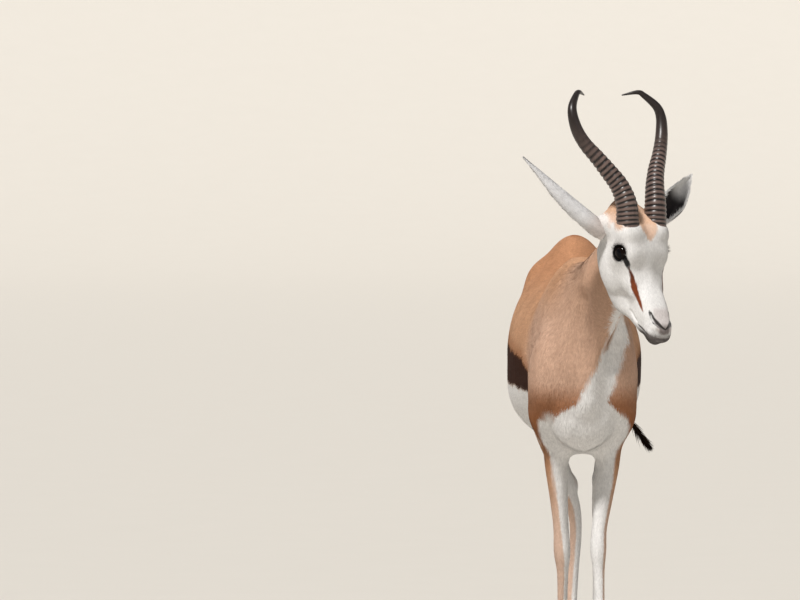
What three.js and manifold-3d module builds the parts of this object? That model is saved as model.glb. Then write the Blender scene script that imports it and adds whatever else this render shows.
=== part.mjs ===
import * as THREE from "three";
import { mergeVertices } from "three/addons/utils/BufferGeometryUtils.js";
import Module from "manifold-3d";

// A springbok, walking, head turned to its left. Millimetres, +Z up, the animal faces -Y, its left side is at +X.
const GAP = 0.35;            // between touching pieces
const TRUNK_STEP = 36;       // size of the facets
const NECK_STEP = 25;
const HEAD_STEP = 16;
const SHIFT = [-31.50, 57.25, 0];

const wasm = await Module();
wasm.setup();

const add3 = (a, b) => [a[0] + b[0], a[1] + b[1], a[2] + b[2]];
const sub3 = (a, b) => [a[0] - b[0], a[1] - b[1], a[2] - b[2]];
const mul3 = (a, s) => [a[0] * s, a[1] * s, a[2] * s];
const dot3 = (a, b) => a[0] * b[0] + a[1] * b[1] + a[2] * b[2];
const cross3 = (a, b) => [a[1] * b[2] - a[2] * b[1], a[2] * b[0] - a[0] * b[2], a[0] * b[1] - a[1] * b[0]];
const norm3 = (a) => mul3(a, 1 / (Math.hypot(a[0], a[1], a[2]) || 1));
const mix3 = (a, b, t) => add3(mul3(a, 1 - t), mul3(b, t));
const sind = (a) => Math.sin((a * Math.PI) / 180);
const cosd = (a) => Math.cos((a * Math.PI) / 180);
const XYZ = [[1, 0, 0], [0, 1, 0], [0, 0, 1]];

// The flesh is a smooth union of ellipsoids and tubes of elliptical section.
const PRIMS = [];
const reach = (grp) => (grp === "trunk" || grp === "neck" ? 62 : 40);   // how far off a shape still counts
function ell(grp, name, c, r, ax, k, op = 1) {
  PRIMS.push({ kind: "ell", grp, name, c, r, ax: ax.map(norm3), k, op, pad: reach(grp) });
}
function stations(pts, n) {
  const out = [], m = pts.length, w = pts[0].length;
  for (let i = 0; i < m - 1; i++) {
    const p1 = pts[i], p2 = pts[i + 1];
    const p0 = i > 0 ? pts[i - 1] : p1.map((v, q) => 2 * v - p2[q]);
    const p3 = i + 2 < m ? pts[i + 2] : p2.map((v, q) => 2 * v - p1[q]);
    for (let j = 0; j < n; j++) {
      const t = j / n, o = [];
      for (let q = 0; q < w; q++)
        o.push(0.5 * (2 * p1[q] + (p2[q] - p0[q]) * t + (2 * p0[q] - 5 * p1[q] + 4 * p2[q] - p3[q]) * t * t + (3 * p1[q] - p0[q] - 3 * p2[q] + p3[q]) * t * t * t));
      out.push(o);
    }
  }
  out.push(pts[m - 1].slice());
  return out;
}
function tube(grp, name, pts, side, k, op = 1, n = 6) {
  const S = stations(pts, n), segs = [];
  for (let i = 0; i < S.length - 1; i++) {
    const p0 = S[i].slice(0, 3), p1 = S[i + 1].slice(0, 3), d = sub3(p1, p0), L = Math.hypot(...d);
    if (L < 1e-6) continue;
    const t = mul3(d, 1 / L), s = norm3(sub3(side, mul3(t, dot3(side, t)))), o = cross3(t, s);
    const R = Math.max(S[i][3], S[i + 1][3], S[i][4], S[i + 1][4]) + reach(grp);
    segs.push({ p0, t, L, s, o, a0: S[i][3], a1: S[i + 1][3], b0: S[i][4], b1: S[i + 1][4], m: mix3(p0, p1, 0.5), R: R + L / 2 });
  }
  PRIMS.push({ kind: "tube", grp, name, segs, k, op });
}
function ellDistance(p, q) {
  const d = sub3(q, p.c);
  const u = dot3(d, p.ax[0]), v = dot3(d, p.ax[1]), w = dot3(d, p.ax[2]), [a, b, c] = p.r;
  const k0 = Math.hypot(u / a, v / b, w / c), k1 = Math.hypot(u / (a * a), v / (b * b), w / (c * c));
  return k1 > 1e-9 ? (k0 * (k0 - 1)) / k1 : -Math.min(a, b, c);
}
function segDistance(g, q) {
  const d = sub3(q, g.p0), h = dot3(d, g.t), hc = Math.min(Math.max(h / g.L, 0), 1), w = h - hc * g.L;
  const u = dot3(d, g.s), v = dot3(d, g.o), a = g.a0 + (g.a1 - g.a0) * hc, b = g.b0 + (g.b1 - g.b0) * hc, c = Math.min(a, b);
  const k0 = Math.hypot(u / a, v / b, w / c), k1 = Math.hypot(u / (a * a), v / (b * b), w / (c * c));
  return k1 > 1e-9 ? (k0 * (k0 - 1)) / k1 : -c;
}
const FAR = 60;
function smin(a, b, k) {
  if (k <= 0) return Math.min(a, b);
  const h = Math.max(k - Math.abs(a - b), 0) / k;
  return Math.min(a, b) - h * h * k * 0.25;
}
function field(q, groups, skip) {
  let F = FAR;
  for (const p of PRIMS) {
    if (groups && !groups.includes(p.grp)) continue;
    if (skip && skip.includes(p.name)) continue;
    let d = FAR;
    if (p.kind === "ell") {
      if (Math.hypot(q[0] - p.c[0], q[1] - p.c[1], q[2] - p.c[2]) > Math.max(...p.r) + p.pad) continue;
      d = ellDistance(p, q);
    } else
      for (const g of p.segs) if (Math.hypot(q[0] - g.m[0], q[1] - g.m[1], q[2] - g.m[2]) < g.R) d = Math.min(d, segDistance(g, q));
    F = p.op > 0 ? smin(F, d, p.k) : -smin(-F, d, p.k);
  }
  return F;
}

// Head: frame at the middle of the line through both eyes. l to its left, f along the face to the nose, u out of the forehead.
const YAW = 39;
const PITCH = 66;
const EYE = [95, -525, 813];
const HL = [cosd(YAW), sind(YAW), 0];
const HF = [sind(YAW)*cosd(PITCH), -cosd(YAW)*cosd(PITCH), -sind(PITCH)];
const HU = [sind(YAW)*sind(PITCH), -cosd(YAW)*sind(PITCH), cosd(PITCH)];
const HAX = [HL, HF, HU];
function H(l, f, u) {
    return add3(EYE, add3(mul3(HL, l), add3(mul3(HF, f), mul3(HU, u))));
}
function HS(l, f, u, a, b) {
    const p = H(l, f, u);
    return [p[0], p[1], p[2], a, b];
}
const SIDES = [-1, 1];
// Trunk
tube("trunk", "barrel", [[0, -318, 552, 50, 62], [0, -280, 588, 76, 122], [0, -215, 608, 88, 160], [-2, -120, 604, 108, 157], [-6, -20, 608, 122, 153], [-9, 80, 618, 125, 147], [-8, 170, 648, 119, 138], [-5, 250, 676, 103, 126], [-4, 330, 688, 84, 102], [-4, 395, 690, 58, 66]], [1, 0, 0], 0);
tube("trunk", "spine", [[0, -275, 738, 18, 36], [0, -215, 740, 26, 44], [0, -120, 735, 32, 42], [0, 0, 732, 36, 41], [-2, 110, 744, 40, 46], [-3, 215, 778, 42, 57], [-4, 300, 770, 38, 54], [-4, 370, 738, 32, 42], [-4, 410, 712, 24, 30]], [1, 0, 0], 56);
for (const s of SIDES) {
    ell("trunk", "hip", [s*58-3, 222, 752], [24, 40, 26], XYZ, 40);
    ell("trunk", "scapula", [s*40, -205, 700], [22, 60, 92], [[1, 0, s*0.32], [0, 1, 0], [-s*0.32, 0, 1]], 36);
    ell("trunk", "shoulder", [s*62, -272, 576], [36, 58, 62], XYZ, 40);
    ell("trunk", "shoulder_point", [s*62, -306, 600], [28, 46, 72], XYZ, 24);
    ell("trunk", "upper_arm", [s*60, -238, 520], [34, 58, 48], XYZ, 34);
    ell("trunk", "pectoral", [s*26, -298, 512], [28, 42, 48], XYZ, 26);
}
ell("trunk", "brisket", [0, -238, 494], [42, 92, 48], XYZ, 30);
// Neck
tube("neck", "neck", [[0, -195, 636, 60, 122], [5, -262, 668, 58, 110], [20, -325, 710, 51, 90], [38, -378, 750, 46, 73], [61, -430, 790, 43, 61], [76, -468, 826, 40, 51], [84, -488, 848, 36, 42]], [0.95, 0.3, 0], 50);
ell("trunk", "belly", [-10, 50, 548], [116, 190, 90], XYZ, 34);
// Hind quarters
tube("trunk", "thigh_right", [[-46, 318, 730, 44, 84], [-68, 296, 630, 46, 88], [-70, 254, 548, 38, 64]], [1, 0, 0], 36);
tube("trunk", "thigh_left", [[38, 322, 730, 44, 84], [62, 310, 630, 46, 88], [68, 280, 552, 38, 64]], [1, 0, 0], 36);
tube("trunk", "ham_right", [[-32, 404, 712, 36, 34], [-52, 386, 630, 42, 52], [-58, 340, 540, 32, 46], [-44, 316, 460, 20, 30]], [1, 0, 0], 30);
tube("trunk", "ham_left", [[24, 406, 712, 36, 34], [46, 398, 630, 42, 52], [58, 366, 540, 32, 46], [58, 366, 460, 20, 30]], [1, 0, 0], 30);
// Legs: stations from the body down to the coronet
tube("leg", "foreleg_left", [[56, -226, 512, 32, 56], [49, -218, 466, 27, 43], [46, -224, 416, 22.5, 32], [39, -235, 360, 17.5, 23.5], [31, -246, 307, 14.8, 18.5], [29, -253, 268, 15.6, 18.6], [30, -257, 230, 11.4, 14.4], [31, -264, 180, 10, 12.4], [31, -272, 125, 10.2, 12.8], [31, -276, 92, 13, 16], [31, -287, 60, 11.5, 12.6], [31, -296, 40, 14, 15]], [1, 0, 0], 26);
tube("leg", "foreleg_right", [[-56, -226, 512, 32, 56], [-48, -216, 466, 27, 43], [-46, -211, 416, 22.5, 32], [-42, -209, 360, 17.5, 23.5], [-38, -208, 307, 15, 18.5], [-36, -206, 262, 16, 18.6], [-35, -202, 226, 11.4, 14.4], [-35, -196, 180, 10, 12.4], [-35, -189, 125, 10.2, 12.8], [-35, -186, 92, 13, 16], [-35, -197, 60, 11.5, 12.6], [-35, -206, 40, 14, 15]], [1, 0, 0], 26);
tube("leg", "hindleg_right", [[-70, 246, 548, 34, 58], [-54, 270, 468, 26, 42], [-30, 302, 392, 17, 27], [-10, 325, 344, 14.5, 22], [-1, 330, 308, 13.2, 18], [1, 324, 262, 11.8, 14.6], [-4, 312, 200, 11.4, 13.6], [-8, 302, 135, 11.5, 13.8], [-11, 297, 95, 13.6, 16.4], [-13, 285, 62, 11.8, 13], [-14, 275, 40, 14, 15]], [1, 0, 0], 26);
tube("leg", "hindleg_left", [[68, 276, 552, 34, 58], [63, 318, 474, 26, 42], [55, 378, 402, 17, 27], [49, 420, 352, 14.5, 22], [47, 433, 314, 13.2, 18], [47, 438, 266, 11.8, 14.6], [47, 446, 200, 11.4, 13.6], [47, 452, 135, 11.5, 13.8], [47, 454, 95, 13.6, 16.4], [47, 443, 62, 11.8, 13], [47, 433, 40, 14, 15]], [1, 0, 0], 26);
ell("leg", "hock_right", [-7, 350, 352], [10, 13, 22], [[1, 0, 0], [0, 0.9, 0.43], [0, -0.43, 0.9]], 16);
ell("leg", "hock_left", [49, 446, 362], [10, 13, 22], [[1, 0, 0], [0, 0.9, 0.43], [0, -0.43, 0.9]], 16);
tube("leg", "tendon_right", [[-44, 330, 466, 12, 28], [-24, 334, 408, 8, 26], [-9, 342, 364, 8, 16]], [1, 0, 0], 22);
tube("leg", "tendon_left", [[62, 394, 472, 12, 28], [54, 418, 412, 8, 26], [49, 438, 372, 8, 16]], [1, 0, 0], 22);
for (const s of SIDES) {
    ell("leg", "elbow", [s*54, -176, 486], [15, 20, 22], XYZ, 26);
}
// Dewclaws behind the fetlocks
for (const q of [[31, -261, 83], [-35, -171, 83], [-11, 312, 85], [47, 469, 85]]) {
    ell("leg", "dewclaw", [q[0]-9, q[1], q[2]], [5.5, 7.5, 9.5], XYZ, 4);
    ell("leg", "dewclaw", [q[0]+9, q[1], q[2]], [5.5, 7.5, 9.5], XYZ, 4);
}
// Head
tube("head", "skull", [HS(0, -82, -10, 30, 30), HS(0, -54, -13, 39, 41), HS(0, -22, -14, 43, 47), HS(0, 12, -21, 40, 45), HS(0, 45, -22, 33, 37), HS(0, 76, -19, 29.5, 31.5), HS(0, 102, -15, 27.5, 28), HS(0, 126, -11, 26, 25), HS(0, 144, -10, 24, 21.5), HS(0, 153, -10, 20, 17)], HL, 26);
for (const s of SIDES) {
    tube("head", "jaw", [HS(s*29, -26, -42, 10, 22), HS(s*27, 28, -56, 10, 22), HS(s*21, 66, -58, 10, 20), HS(s*16, 98, -42, 10, 13), HS(s*12, 130, -30, 9.5, 10)], HL, 18);
    ell("head", "cheek", H(s*31, 8, -38), [13, 44, 32], HAX, 20);
    ell("head", "brow", H(s*34, -8, 14), [14.5, 30, 15.5], HAX, 22);
    ell("head", "orbit", H(s*33, 2, -2), [20, 27, 25], HAX, 16);
    ell("head", "cheekbone", H(s*29, 36, -10), [10, 40, 14], HAX, 22);
    ell("head", "horn_boss", H(s*29, -40, 19), [25, 25, 23], HAX, 16);
    ell("head", "horn_collar", H(s*30, -27, 26), [23, 20, 20], HAX, 12);
    tube("head", "ear_root", [HS(s*32, -62, -14, 24, 22), HS(s*52, -66, -22, 17, 17)], HF, 24);
    ell("head", "nasal", H(s*12, 106, -3), [14, 36, 14], HAX, 14);
    ell("head", "upper_lip", H(s*13, 146, -8), [13.5, 20, 12.5], HAX, 8);
    ell("head", "nostril_wing", H(s*12.5, 140, 3), [10, 13, 9.5], HAX, 6);
    ell("head", "eye_opening", H(s*53, 3, 5), [9.5, 14.2, 14.2], HAX, 3, -1);
}
ell("head", "forehead", H(0, -16, 8), [43, 42, 25], HAX, 24);
ell("head", "nose", H(0, 143, 4), [11, 14, 9], HAX, 8);
ell("head", "chin", H(0, 150, -24), [17, 18, 11.5], HAX, 8);
ell("head", "throat", H(0, -20, -52), [27, 46, 30], HAX, 26);
// Tail
tube("tail", "tail", [[-4, 398, 738, 17, 15], [-2, 426, 722, 13, 11], [9, 450, 694, 9.5, 8.5], [33, 463, 645, 8, 7], [62, 463, 585, 7, 6.5], [88, 456, 525, 6.5, 6], [106, 447, 484, 6.5, 6.5]], [0.9, 0, 0.4], 22);

// Horns: stations [to the side, forward, up, half-width, half-depth] from the middle of the eye line, head held level, turned by YAW
const HORN = [[30.5, 6, 34, 19.5, 22], [31, 6, 44, 20, 22.5], [31.8, 5.5, 56, 20, 22], [32.8, 3, 89, 18.2, 20], [39, -8, 120, 15.8, 17.8], [53, -22.5, 147, 14.4, 15.8], [69, -35.5, 172, 13, 13.8], [85, -48.6, 195.5, 12, 12.2], [96.4, -57, 218.8, 11, 11], [101.8, -63, 243.8, 9.4, 9.2], [98.3, -69, 263.4, 7.8, 7.6], [80.6, -80, 283, 5.6, 5.4], [69, -85, 289, 4.2, 4], [45, -100, 284, 1.2, 1.2]];
// How much farther out the left horn stands at each station
const LEAN = [0, 0, 0, 2.8, 4.8, 6.2, 8, 8, 6, 4, 2, 0, 0, 0];
// Ears: stations [to the side, forward, up, half-width]
const EAR_RIGHT = [[44, -40, 42, 17], [62, -46, 54, 20], [92, -60, 79, 22], [124, -76, 109, 20.5], [152, -88, 138, 13.5], [172, -95, 158, 7.5], [185, -100, 171, 2.2]];
const EAR_LEFT = [[44, -40, 44, 15], [64, -46, 54, 20], [99, -58, 69, 24], [136, -70, 88, 24.5], [167, -80, 110, 18], [190, -88, 128, 9], [204, -93, 139, 2.2]];
const EYE_AT = [37.5, 0, 3];
const EYE_R = 17.5;
const TAIL = [[-4, 400, 738, 15, 13], [-2, 427, 722, 12, 10], [9, 450, 694, 9.5, 8.5], [33, 463, 645, 8, 7], [62, 463, 585, 7, 6.5], [88, 456, 525, 6.5, 6], [105, 447, 483, 6, 5.5], [123, 440, 457, 4.6, 4.2], [137, 436, 438, 3, 2.8], [148, 434, 424, 1.2, 1.2]];
// Hooves: middle of the foot, one for each leg [name, x, y]
const FEET = [["front_left", 31, -300], ["front_right", -35, -210], ["hind_right", -15, 268], ["hind_left", 47, 429]];
const HOOF_TOP = 38;
const CORONET_SLOPE = 0.34;


// Solids from triangles and closed geometries
function solidFrom(points, tris) {
  const make = (t) => new wasm.Manifold(new wasm.Mesh({ numProp: 3, vertProperties: new Float32Array(points.flat()), triVerts: new Uint32Array(t.flat()) }));
  const m = make(tris);
  return m.volume() < 0 ? make(tris.map(([a, b, c]) => [a, c, b])) : m;
}
function solidOf(geometry) {
  const g = geometry.clone();
  for (const key of Object.keys(g.attributes)) if (key !== "position") g.deleteAttribute(key);
  const m = mergeVertices(g, 1e-4), p = m.attributes.position, I = m.index.array, tris = [];
  const seen = [];
  for (let i = 0; i < I.length; i += 3) if (I[i] !== I[i + 1] && I[i + 1] !== I[i + 2] && I[i] !== I[i + 2]) tris.push([I[i], I[i + 1], I[i + 2]]);
  const pts = [];
  for (let i = 0; i < p.count; i++) pts.push([p.getX(i), p.getY(i), p.getZ(i)]);
  return solidFrom(pts, tris);
}
// Half-space below the plane through c with normal n, as a large block
function below(c, n, lift = 0, size = 2400) {
  const g = new THREE.BoxGeometry(size, size, size);
  const q = new THREE.Quaternion().setFromUnitVectors(new THREE.Vector3(0, 0, 1), new THREE.Vector3(...norm3(n)));
  g.translate(0, 0, -size / 2 + lift);
  g.applyQuaternion(q);
  g.translate(...c);
  return solidOf(g);
}
const above = (c, n, lift = 0) => below(c, mul3(n, -1), lift);
function block(lo, hi) {
  const g = new THREE.BoxGeometry(hi[0] - lo[0], hi[1] - lo[1], hi[2] - lo[2]);
  g.translate((lo[0] + hi[0]) / 2, (lo[1] + hi[1]) / 2, (lo[2] + hi[2]) / 2);
  return solidOf(g);
}
// Surface of the field inside a box, one vertex for each cell it passes through
function shell(lo, hi, h, groups, skip, grow = 0) {
  const n = [0, 1, 2].map((i) => Math.ceil((hi[i] - lo[i]) / h) + 1), N = n[0] * n[1] * n[2];
  const F = new Float64Array(N), at = (i, j, k) => (i * n[1] + j) * n[2] + k;
  for (let i = 0; i < n[0]; i++)
    for (let j = 0; j < n[1]; j++)
      for (let k = 0; k < n[2]; k++) {
        const edge = i === 0 || j === 0 || k === 0 || i === n[0] - 1 || j === n[1] - 1 || k === n[2] - 1;
        const f = field([lo[0] + i * h, lo[1] + j * h, lo[2] + k * h], groups, skip) - grow;
        F[at(i, j, k)] = edge ? Math.max(f, h * 0.5) : f;
      }
  const V = [], free = [], index = new Map();
  const C = [];
  for (const a of [0, 1]) for (const b of [0, 1]) for (const c of [0, 1]) C.push([a, b, c]);
  // the twelve edges of a cell: [corner, corner, direction, offsets of the two other directions]
  const E = [];
  for (let x = 0; x < 8; x++) for (let y = x + 1; y < 8; y++) {
    const d = [0, 1, 2].filter((q) => C[x][q] !== C[y][q]);
    if (d.length === 1) E.push([x, y, d[0]]);
  }
  const FACES = [];
  for (let q = 0; q < 3; q++) for (const v of [0, 1]) FACES.push(E.map((e, n) => n).filter((n) => C[E[n][0]][q] === v && C[E[n][1]][q] === v));
  const key = (i, j, k, e) => at(i, j, k) * 12 + e;
  for (let i = 0; i < n[0] - 1; i++)
    for (let j = 0; j < n[1] - 1; j++)
      for (let k = 0; k < n[2] - 1; k++) {
        const f = C.map(([a, b, c]) => F[at(i + a, j + b, k + c)]);
        const ins = f.filter((v) => v < 0).length;
        if (ins === 0 || ins === 8) continue;
        const cross = E.map(([x, y]) => f[x] < 0 !== f[y] < 0), group = E.map((e, m) => m);
        const find = (m) => { while (group[m] !== m) m = group[m]; return m; };
        for (const face of FACES) {
          const on = face.filter((m) => cross[m]);
          if (on.length === 2) group[find(on[0])] = find(on[1]);
          if (on.length === 4)
            for (let x = 0; x < 8; x++) {
              const own = on.filter((m) => E[m][0] === x || E[m][1] === x);
              if (f[x] < 0 && own.length === 2) group[find(own[0])] = find(own[1]);
            }
        }
        const made = new Map();
        for (let m = 0; m < 12; m++) {
          if (!cross[m]) continue;
          const g = find(m), [x, y] = E[m], t = f[x] / (f[x] - f[y]);
          if (!made.has(g)) made.set(g, [0, 0, 0, 0, V.length + made.size]);
          const w = made.get(g);
          for (let q = 0; q < 3; q++) w[q] += C[x][q] + (C[y][q] - C[x][q]) * t;
          w[3]++;
          index.set(key(i, j, k, m), w[4]);
        }
        for (const w of [...made.values()].sort((a, b) => a[4] - b[4])) {
          V.push([lo[0] + (i + w[0] / w[3]) * h, lo[1] + (j + w[1] / w[3]) * h, lo[2] + (k + w[2] / w[3]) * h]);
          free.push(i > 0 && j > 0 && k > 0 && i < n[0] - 2 && j < n[1] - 2 && k < n[2] - 2);
        }
      }
  const T = [];
  const quad = (q, flip) => {
    if (flip) q.reverse();
    const e = (x, y) => Math.hypot(...sub3(V[q[x]], V[q[y]]));
    if (e(0, 2) < e(1, 3)) T.push([q[0], q[1], q[2]], [q[0], q[2], q[3]]);
    else T.push([q[1], q[2], q[3]], [q[1], q[3], q[0]]);
  };
  const edgeOf = (d, off) => E.findIndex(([x, y, q]) => q === d && C[x].every((v, r) => r === d || v === off[r]));
  for (let i = 0; i < n[0] - 1; i++)
    for (let j = 0; j < n[1] - 1; j++)
      for (let k = 0; k < n[2] - 1; k++) {
        const s = F[at(i, j, k)] < 0;
        for (let d = 0; d < 3; d++) {
          const p = [i, j, k];
          if (p.some((v, q) => q !== d && v === 0)) continue;
          p[d]++;
          if (s === F[at(...p)] < 0) continue;
          const [u, v] = [0, 1, 2].filter((q) => q !== d);
          const ring = [[1, 1], [0, 1], [0, 0], [1, 0]].map(([a, b]) => {
            const c = [i, j, k], off = [0, 0, 0];
            c[u] -= a;
            c[v] -= b;
            off[u] = a;
            off[v] = b;
            return index.get(key(c[0], c[1], c[2], edgeOf(d, off)));
          });
          quad(ring, (d === 1) === s);
        }
      }
  // each free vertex moves on to the true surface
  for (let pass = 0; pass < 2; pass++)
    V.forEach((v, x) => {
      if (!free[x]) return;
      const e = 0.8, g = [0, 1, 2].map((q) => {
        const a = v.slice(), b = v.slice();
        a[q] += e;
        b[q] -= e;
        return field(a, groups, skip) - field(b, groups, skip);
      });
      const d = Math.max(-h * 0.4, Math.min(h * 0.4, field(v, groups, skip) - grow));
      V[x] = sub3(v, mul3(norm3(g), d));
    });
  return solidFrom(V, T);
}
// Closed loft over rings of equal count; the first and last ring are capped at their middle
function loft(rings) {
  const n = rings[0].length, V = rings.flat(), T = [];
  for (let i = 0; i < rings.length - 1; i++)
    for (let j = 0; j < n; j++) {
      const a = i * n + j, b = i * n + ((j + 1) % n), c = a + n, d = b + n;
      T.push([a, b, d], [a, d, c]);
    }
  const mid = (r) => mul3(r.reduce(add3), 1 / r.length);
  const s = V.length;
  V.push(mid(rings[0]), mid(rings[rings.length - 1]));
  const z = (rings.length - 1) * n;
  for (let j = 0; j < n; j++) {
    T.push([s, (j + 1) % n, j]);
    T.push([s + 1, z + j, z + ((j + 1) % n)]);
  }
  return solidFrom(V, T);
}
// Level rings down a leg, each found by rays from the middle of the leg to the surface
function legLoft(levels, sides, reach, groups, inner = () => true) {
  return loft(levels.map(([x, y, z]) => {
    const ring = [];
    for (let j = 0; j < sides; j++) {
      const a = (j / sides) * Math.PI * 2, d = [Math.cos(a), Math.sin(a), 0];
      let lo = 0, hi = 3;
      while (hi < reach && inner(x + d[0] * hi) && field(add3([x, y, z], mul3(d, hi)), groups) < 0) { lo = hi; hi += 3; }
      for (let it = 0; it < 12; it++) {
        const m = (lo + hi) / 2;
        if (inner(x + d[0] * m) && field(add3([x, y, z], mul3(d, m)), groups) < 0) lo = m;
        else hi = m;
      }
      ring.push([x + d[0] * lo, y + d[1] * lo, z]);
    }
    return ring;
  }));
}
const yaw3 = (p) => {
  const hf = [sind(YAW), -cosd(YAW), 0];
  return add3(EYE, add3(mul3(HL, p[0]), add3(mul3(hf, p[1]), [0, 0, p[2]])));
};

const FLESH = ["trunk", "neck", "leg", "head"];
const HEAD_PLANE = { c: [62, -452, 800], n: norm3([0.42, -0.87, 0.25]) };
const NECK_PLANE = { c: [8, -292, 695], n: norm3([0.12, -0.906, 0.405]) };
// Planes between trunk and legs rise outwards from beside the sternum and the groin
const FORE_CUT = { x: 13, z: 441, rise: 40, lo: -345, hi: -140 };
const HIND_CUT = { x: 10, z: 546, rise: 38, lo: 168, hi: 520 };
function legRegion(cut, s, mid, lift) {
  const n = [-s * sind(cut.rise), 0, cosd(cut.rise)];
  const box = block([s > 0 ? mid - lift : -400, cut.lo - lift, -50], [s > 0 ? 400 : mid + lift, cut.hi + lift, 700]);
  return below([s * cut.x + mid, 0, cut.z], n, lift).intersect(box);
}
// Middles of the level sections of thigh and gaskin
const THIGH = {
  right: [[-60, 318, 690], [-60, 316, 640], [-60, 311, 600], [-61, 305, 570], [-61, 299, 540], [-58, 292, 510], [-51, 289, 480], [-44, 297, 450], [-36, 309, 420], [-26, 319, 395], [-17, 330, 372], [-9, 334, 350], [-4, 332, 330], [-1, 331, 312]],
  left: [[54, 322, 690], [56, 322, 640], [58, 322, 600], [61, 322, 570], [62, 324, 540], [62, 330, 510], [62, 341, 480], [60, 358, 450], [57, 379, 420], [54, 398, 395], [51, 415, 372], [49, 428, 350], [48, 434, 330], [47, 434, 312]],
};
const CARPUS = { left: [-252, 268], right: [-206, 262] };
const HOCK = { left: [425, 345], right: [328, 338] };

const out = new THREE.Group();
out.name = "springbok";
function emit(name, solid, colour, roughness, metalness = 0) {
  const m = solid.getMesh();
  const g = new THREE.BufferGeometry();
  const P = new Float32Array((m.vertProperties.length / m.numProp) * 3);
  for (let i = 0; i < P.length / 3; i++) for (let q = 0; q < 3; q++) P[i * 3 + q] = m.vertProperties[i * m.numProp + q] + SHIFT[q];
  g.setAttribute("position", new THREE.BufferAttribute(P, 3));
  g.setIndex(new THREE.BufferAttribute(new Uint32Array(m.triVerts), 1));
  g.computeVertexNormals();
  const mesh = new THREE.Mesh(g, new THREE.MeshStandardMaterial({ color: new THREE.Color(colour), roughness, metalness }));
  mesh.name = name;
  out.add(mesh);
}
// The largest body of a cut, without crumbs
function main(solid) {
  const parts = solid.decompose();
  parts.sort((a, b) => b.volume() - a.volume());
  return parts[0];
}
const FAWN = "#b98a63", WHITE = "#d9d3cb", DARK = "#2b2420", BLACK = "#0d0b0a", TAN = "#c79b74";

// Trunk, neck and head
let trunk = shell([-170, -390, 395], [170, 480, 875], TRUNK_STEP, ["trunk", "neck", "leg"]);
trunk = trunk.intersect(below(NECK_PLANE.c, NECK_PLANE.n, -GAP));
for (const s of SIDES) {
  trunk = trunk.subtract(legRegion(FORE_CUT, s, 0, GAP));
  trunk = trunk.subtract(legRegion(HIND_CUT, s, -2, GAP));
}
trunk = main(trunk);
emit("trunk", trunk, FAWN, 0.85);

let neck = shell([-90, -560, 480], [190, -170, 960], NECK_STEP, ["trunk", "neck", "head"]);
neck = main(neck.intersect(above(NECK_PLANE.c, NECK_PLANE.n)).intersect(below(HEAD_PLANE.c, HEAD_PLANE.n, -GAP)));
emit("neck", neck, TAN, 0.85);

let head = shell([-20, -660, 605], [215, -400, 915], HEAD_STEP, ["neck", "head"], ["eye_opening"]);
head = head.intersect(above(HEAD_PLANE.c, HEAD_PLANE.n));
function ball(c, r, ax, w, h) {
  const g = new THREE.SphereGeometry(1, w, h);
  const m = new THREE.Matrix4().makeBasis(new THREE.Vector3(...ax[0]).multiplyScalar(r[0]), new THREE.Vector3(...ax[1]).multiplyScalar(r[1]), new THREE.Vector3(...ax[2]).multiplyScalar(r[2]));
  g.applyMatrix4(m);
  g.translate(...c);
  let v = solidOf(g);
  return v;
}
const eyes = SIDES.map((s) => ball(H(s * EYE_AT[0], EYE_AT[1], EYE_AT[2]), [EYE_R, EYE_R, EYE_R], HAX, 12, 8));
SIDES.forEach((s, i) => {
  const r = EYE_R + GAP;
  head = head.subtract(ball(H(s * EYE_AT[0], EYE_AT[1], EYE_AT[2]), [r, r, r], HAX, 12, 8));
  head = head.subtract(ball(H(s * 53, 3, 5), [9.5, 14.2, 14.2], HAX, 10, 7));
});

// Horns: rings stand out along the lower two thirds
function hornLoft(s) {
  const S = stations(HORN.map((p, i) => [...yaw3([s * p[0] + (s > 0 ? LEAN[i] : 0), p[1], p[2]]), p[3], p[4]]), 24);
  const len = [0];
  for (let i = 1; i < S.length; i++) len.push(len[i - 1] + Math.hypot(...sub3(S[i].slice(0, 3), S[i - 1].slice(0, 3))));
  const total = len[len.length - 1];
  const take = (d) => {
    let i = 1;
    while (i < S.length - 1 && len[i] < d) i++;
    const t = Math.min(1, (d - len[i - 1]) / (len[i] - len[i - 1] || 1));
    const p = S[i - 1].map((v, q) => v + (S[i][q] - v) * t);
    return { p: p.slice(0, 3), a: p[3], b: p[4], t: norm3(sub3(S[i].slice(0, 3), S[i - 1].slice(0, 3))) };
  };
  const at = [];
  let d = 0;
  while (d < total * 0.66) {
    const step = 13 + 3 * (d / total);
    at.push([d, 0.93], [d + step * 0.45, 1.05]);
    d += step;
  }
  for (let k = 0; k <= 6; k++) at.push([d + ((total - d) * k) / 6, 1]);
  const sides = 7;
  return loft(at.map(([dd, f]) => {
    const q = take(Math.min(dd, total)), side = norm3(sub3(HL, mul3(q.t, dot3(HL, q.t)))), o = cross3(q.t, side);
    const ring = [];
    for (let j = 0; j < sides; j++) {
      const a = (j / sides) * Math.PI * 2;
      ring.push(add3(q.p, add3(mul3(side, Math.cos(a) * q.a * f), mul3(o, Math.sin(a) * q.b * f))));
    }
    return ring;
  }));
}
const horns = SIDES.map(hornLoft);

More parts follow.
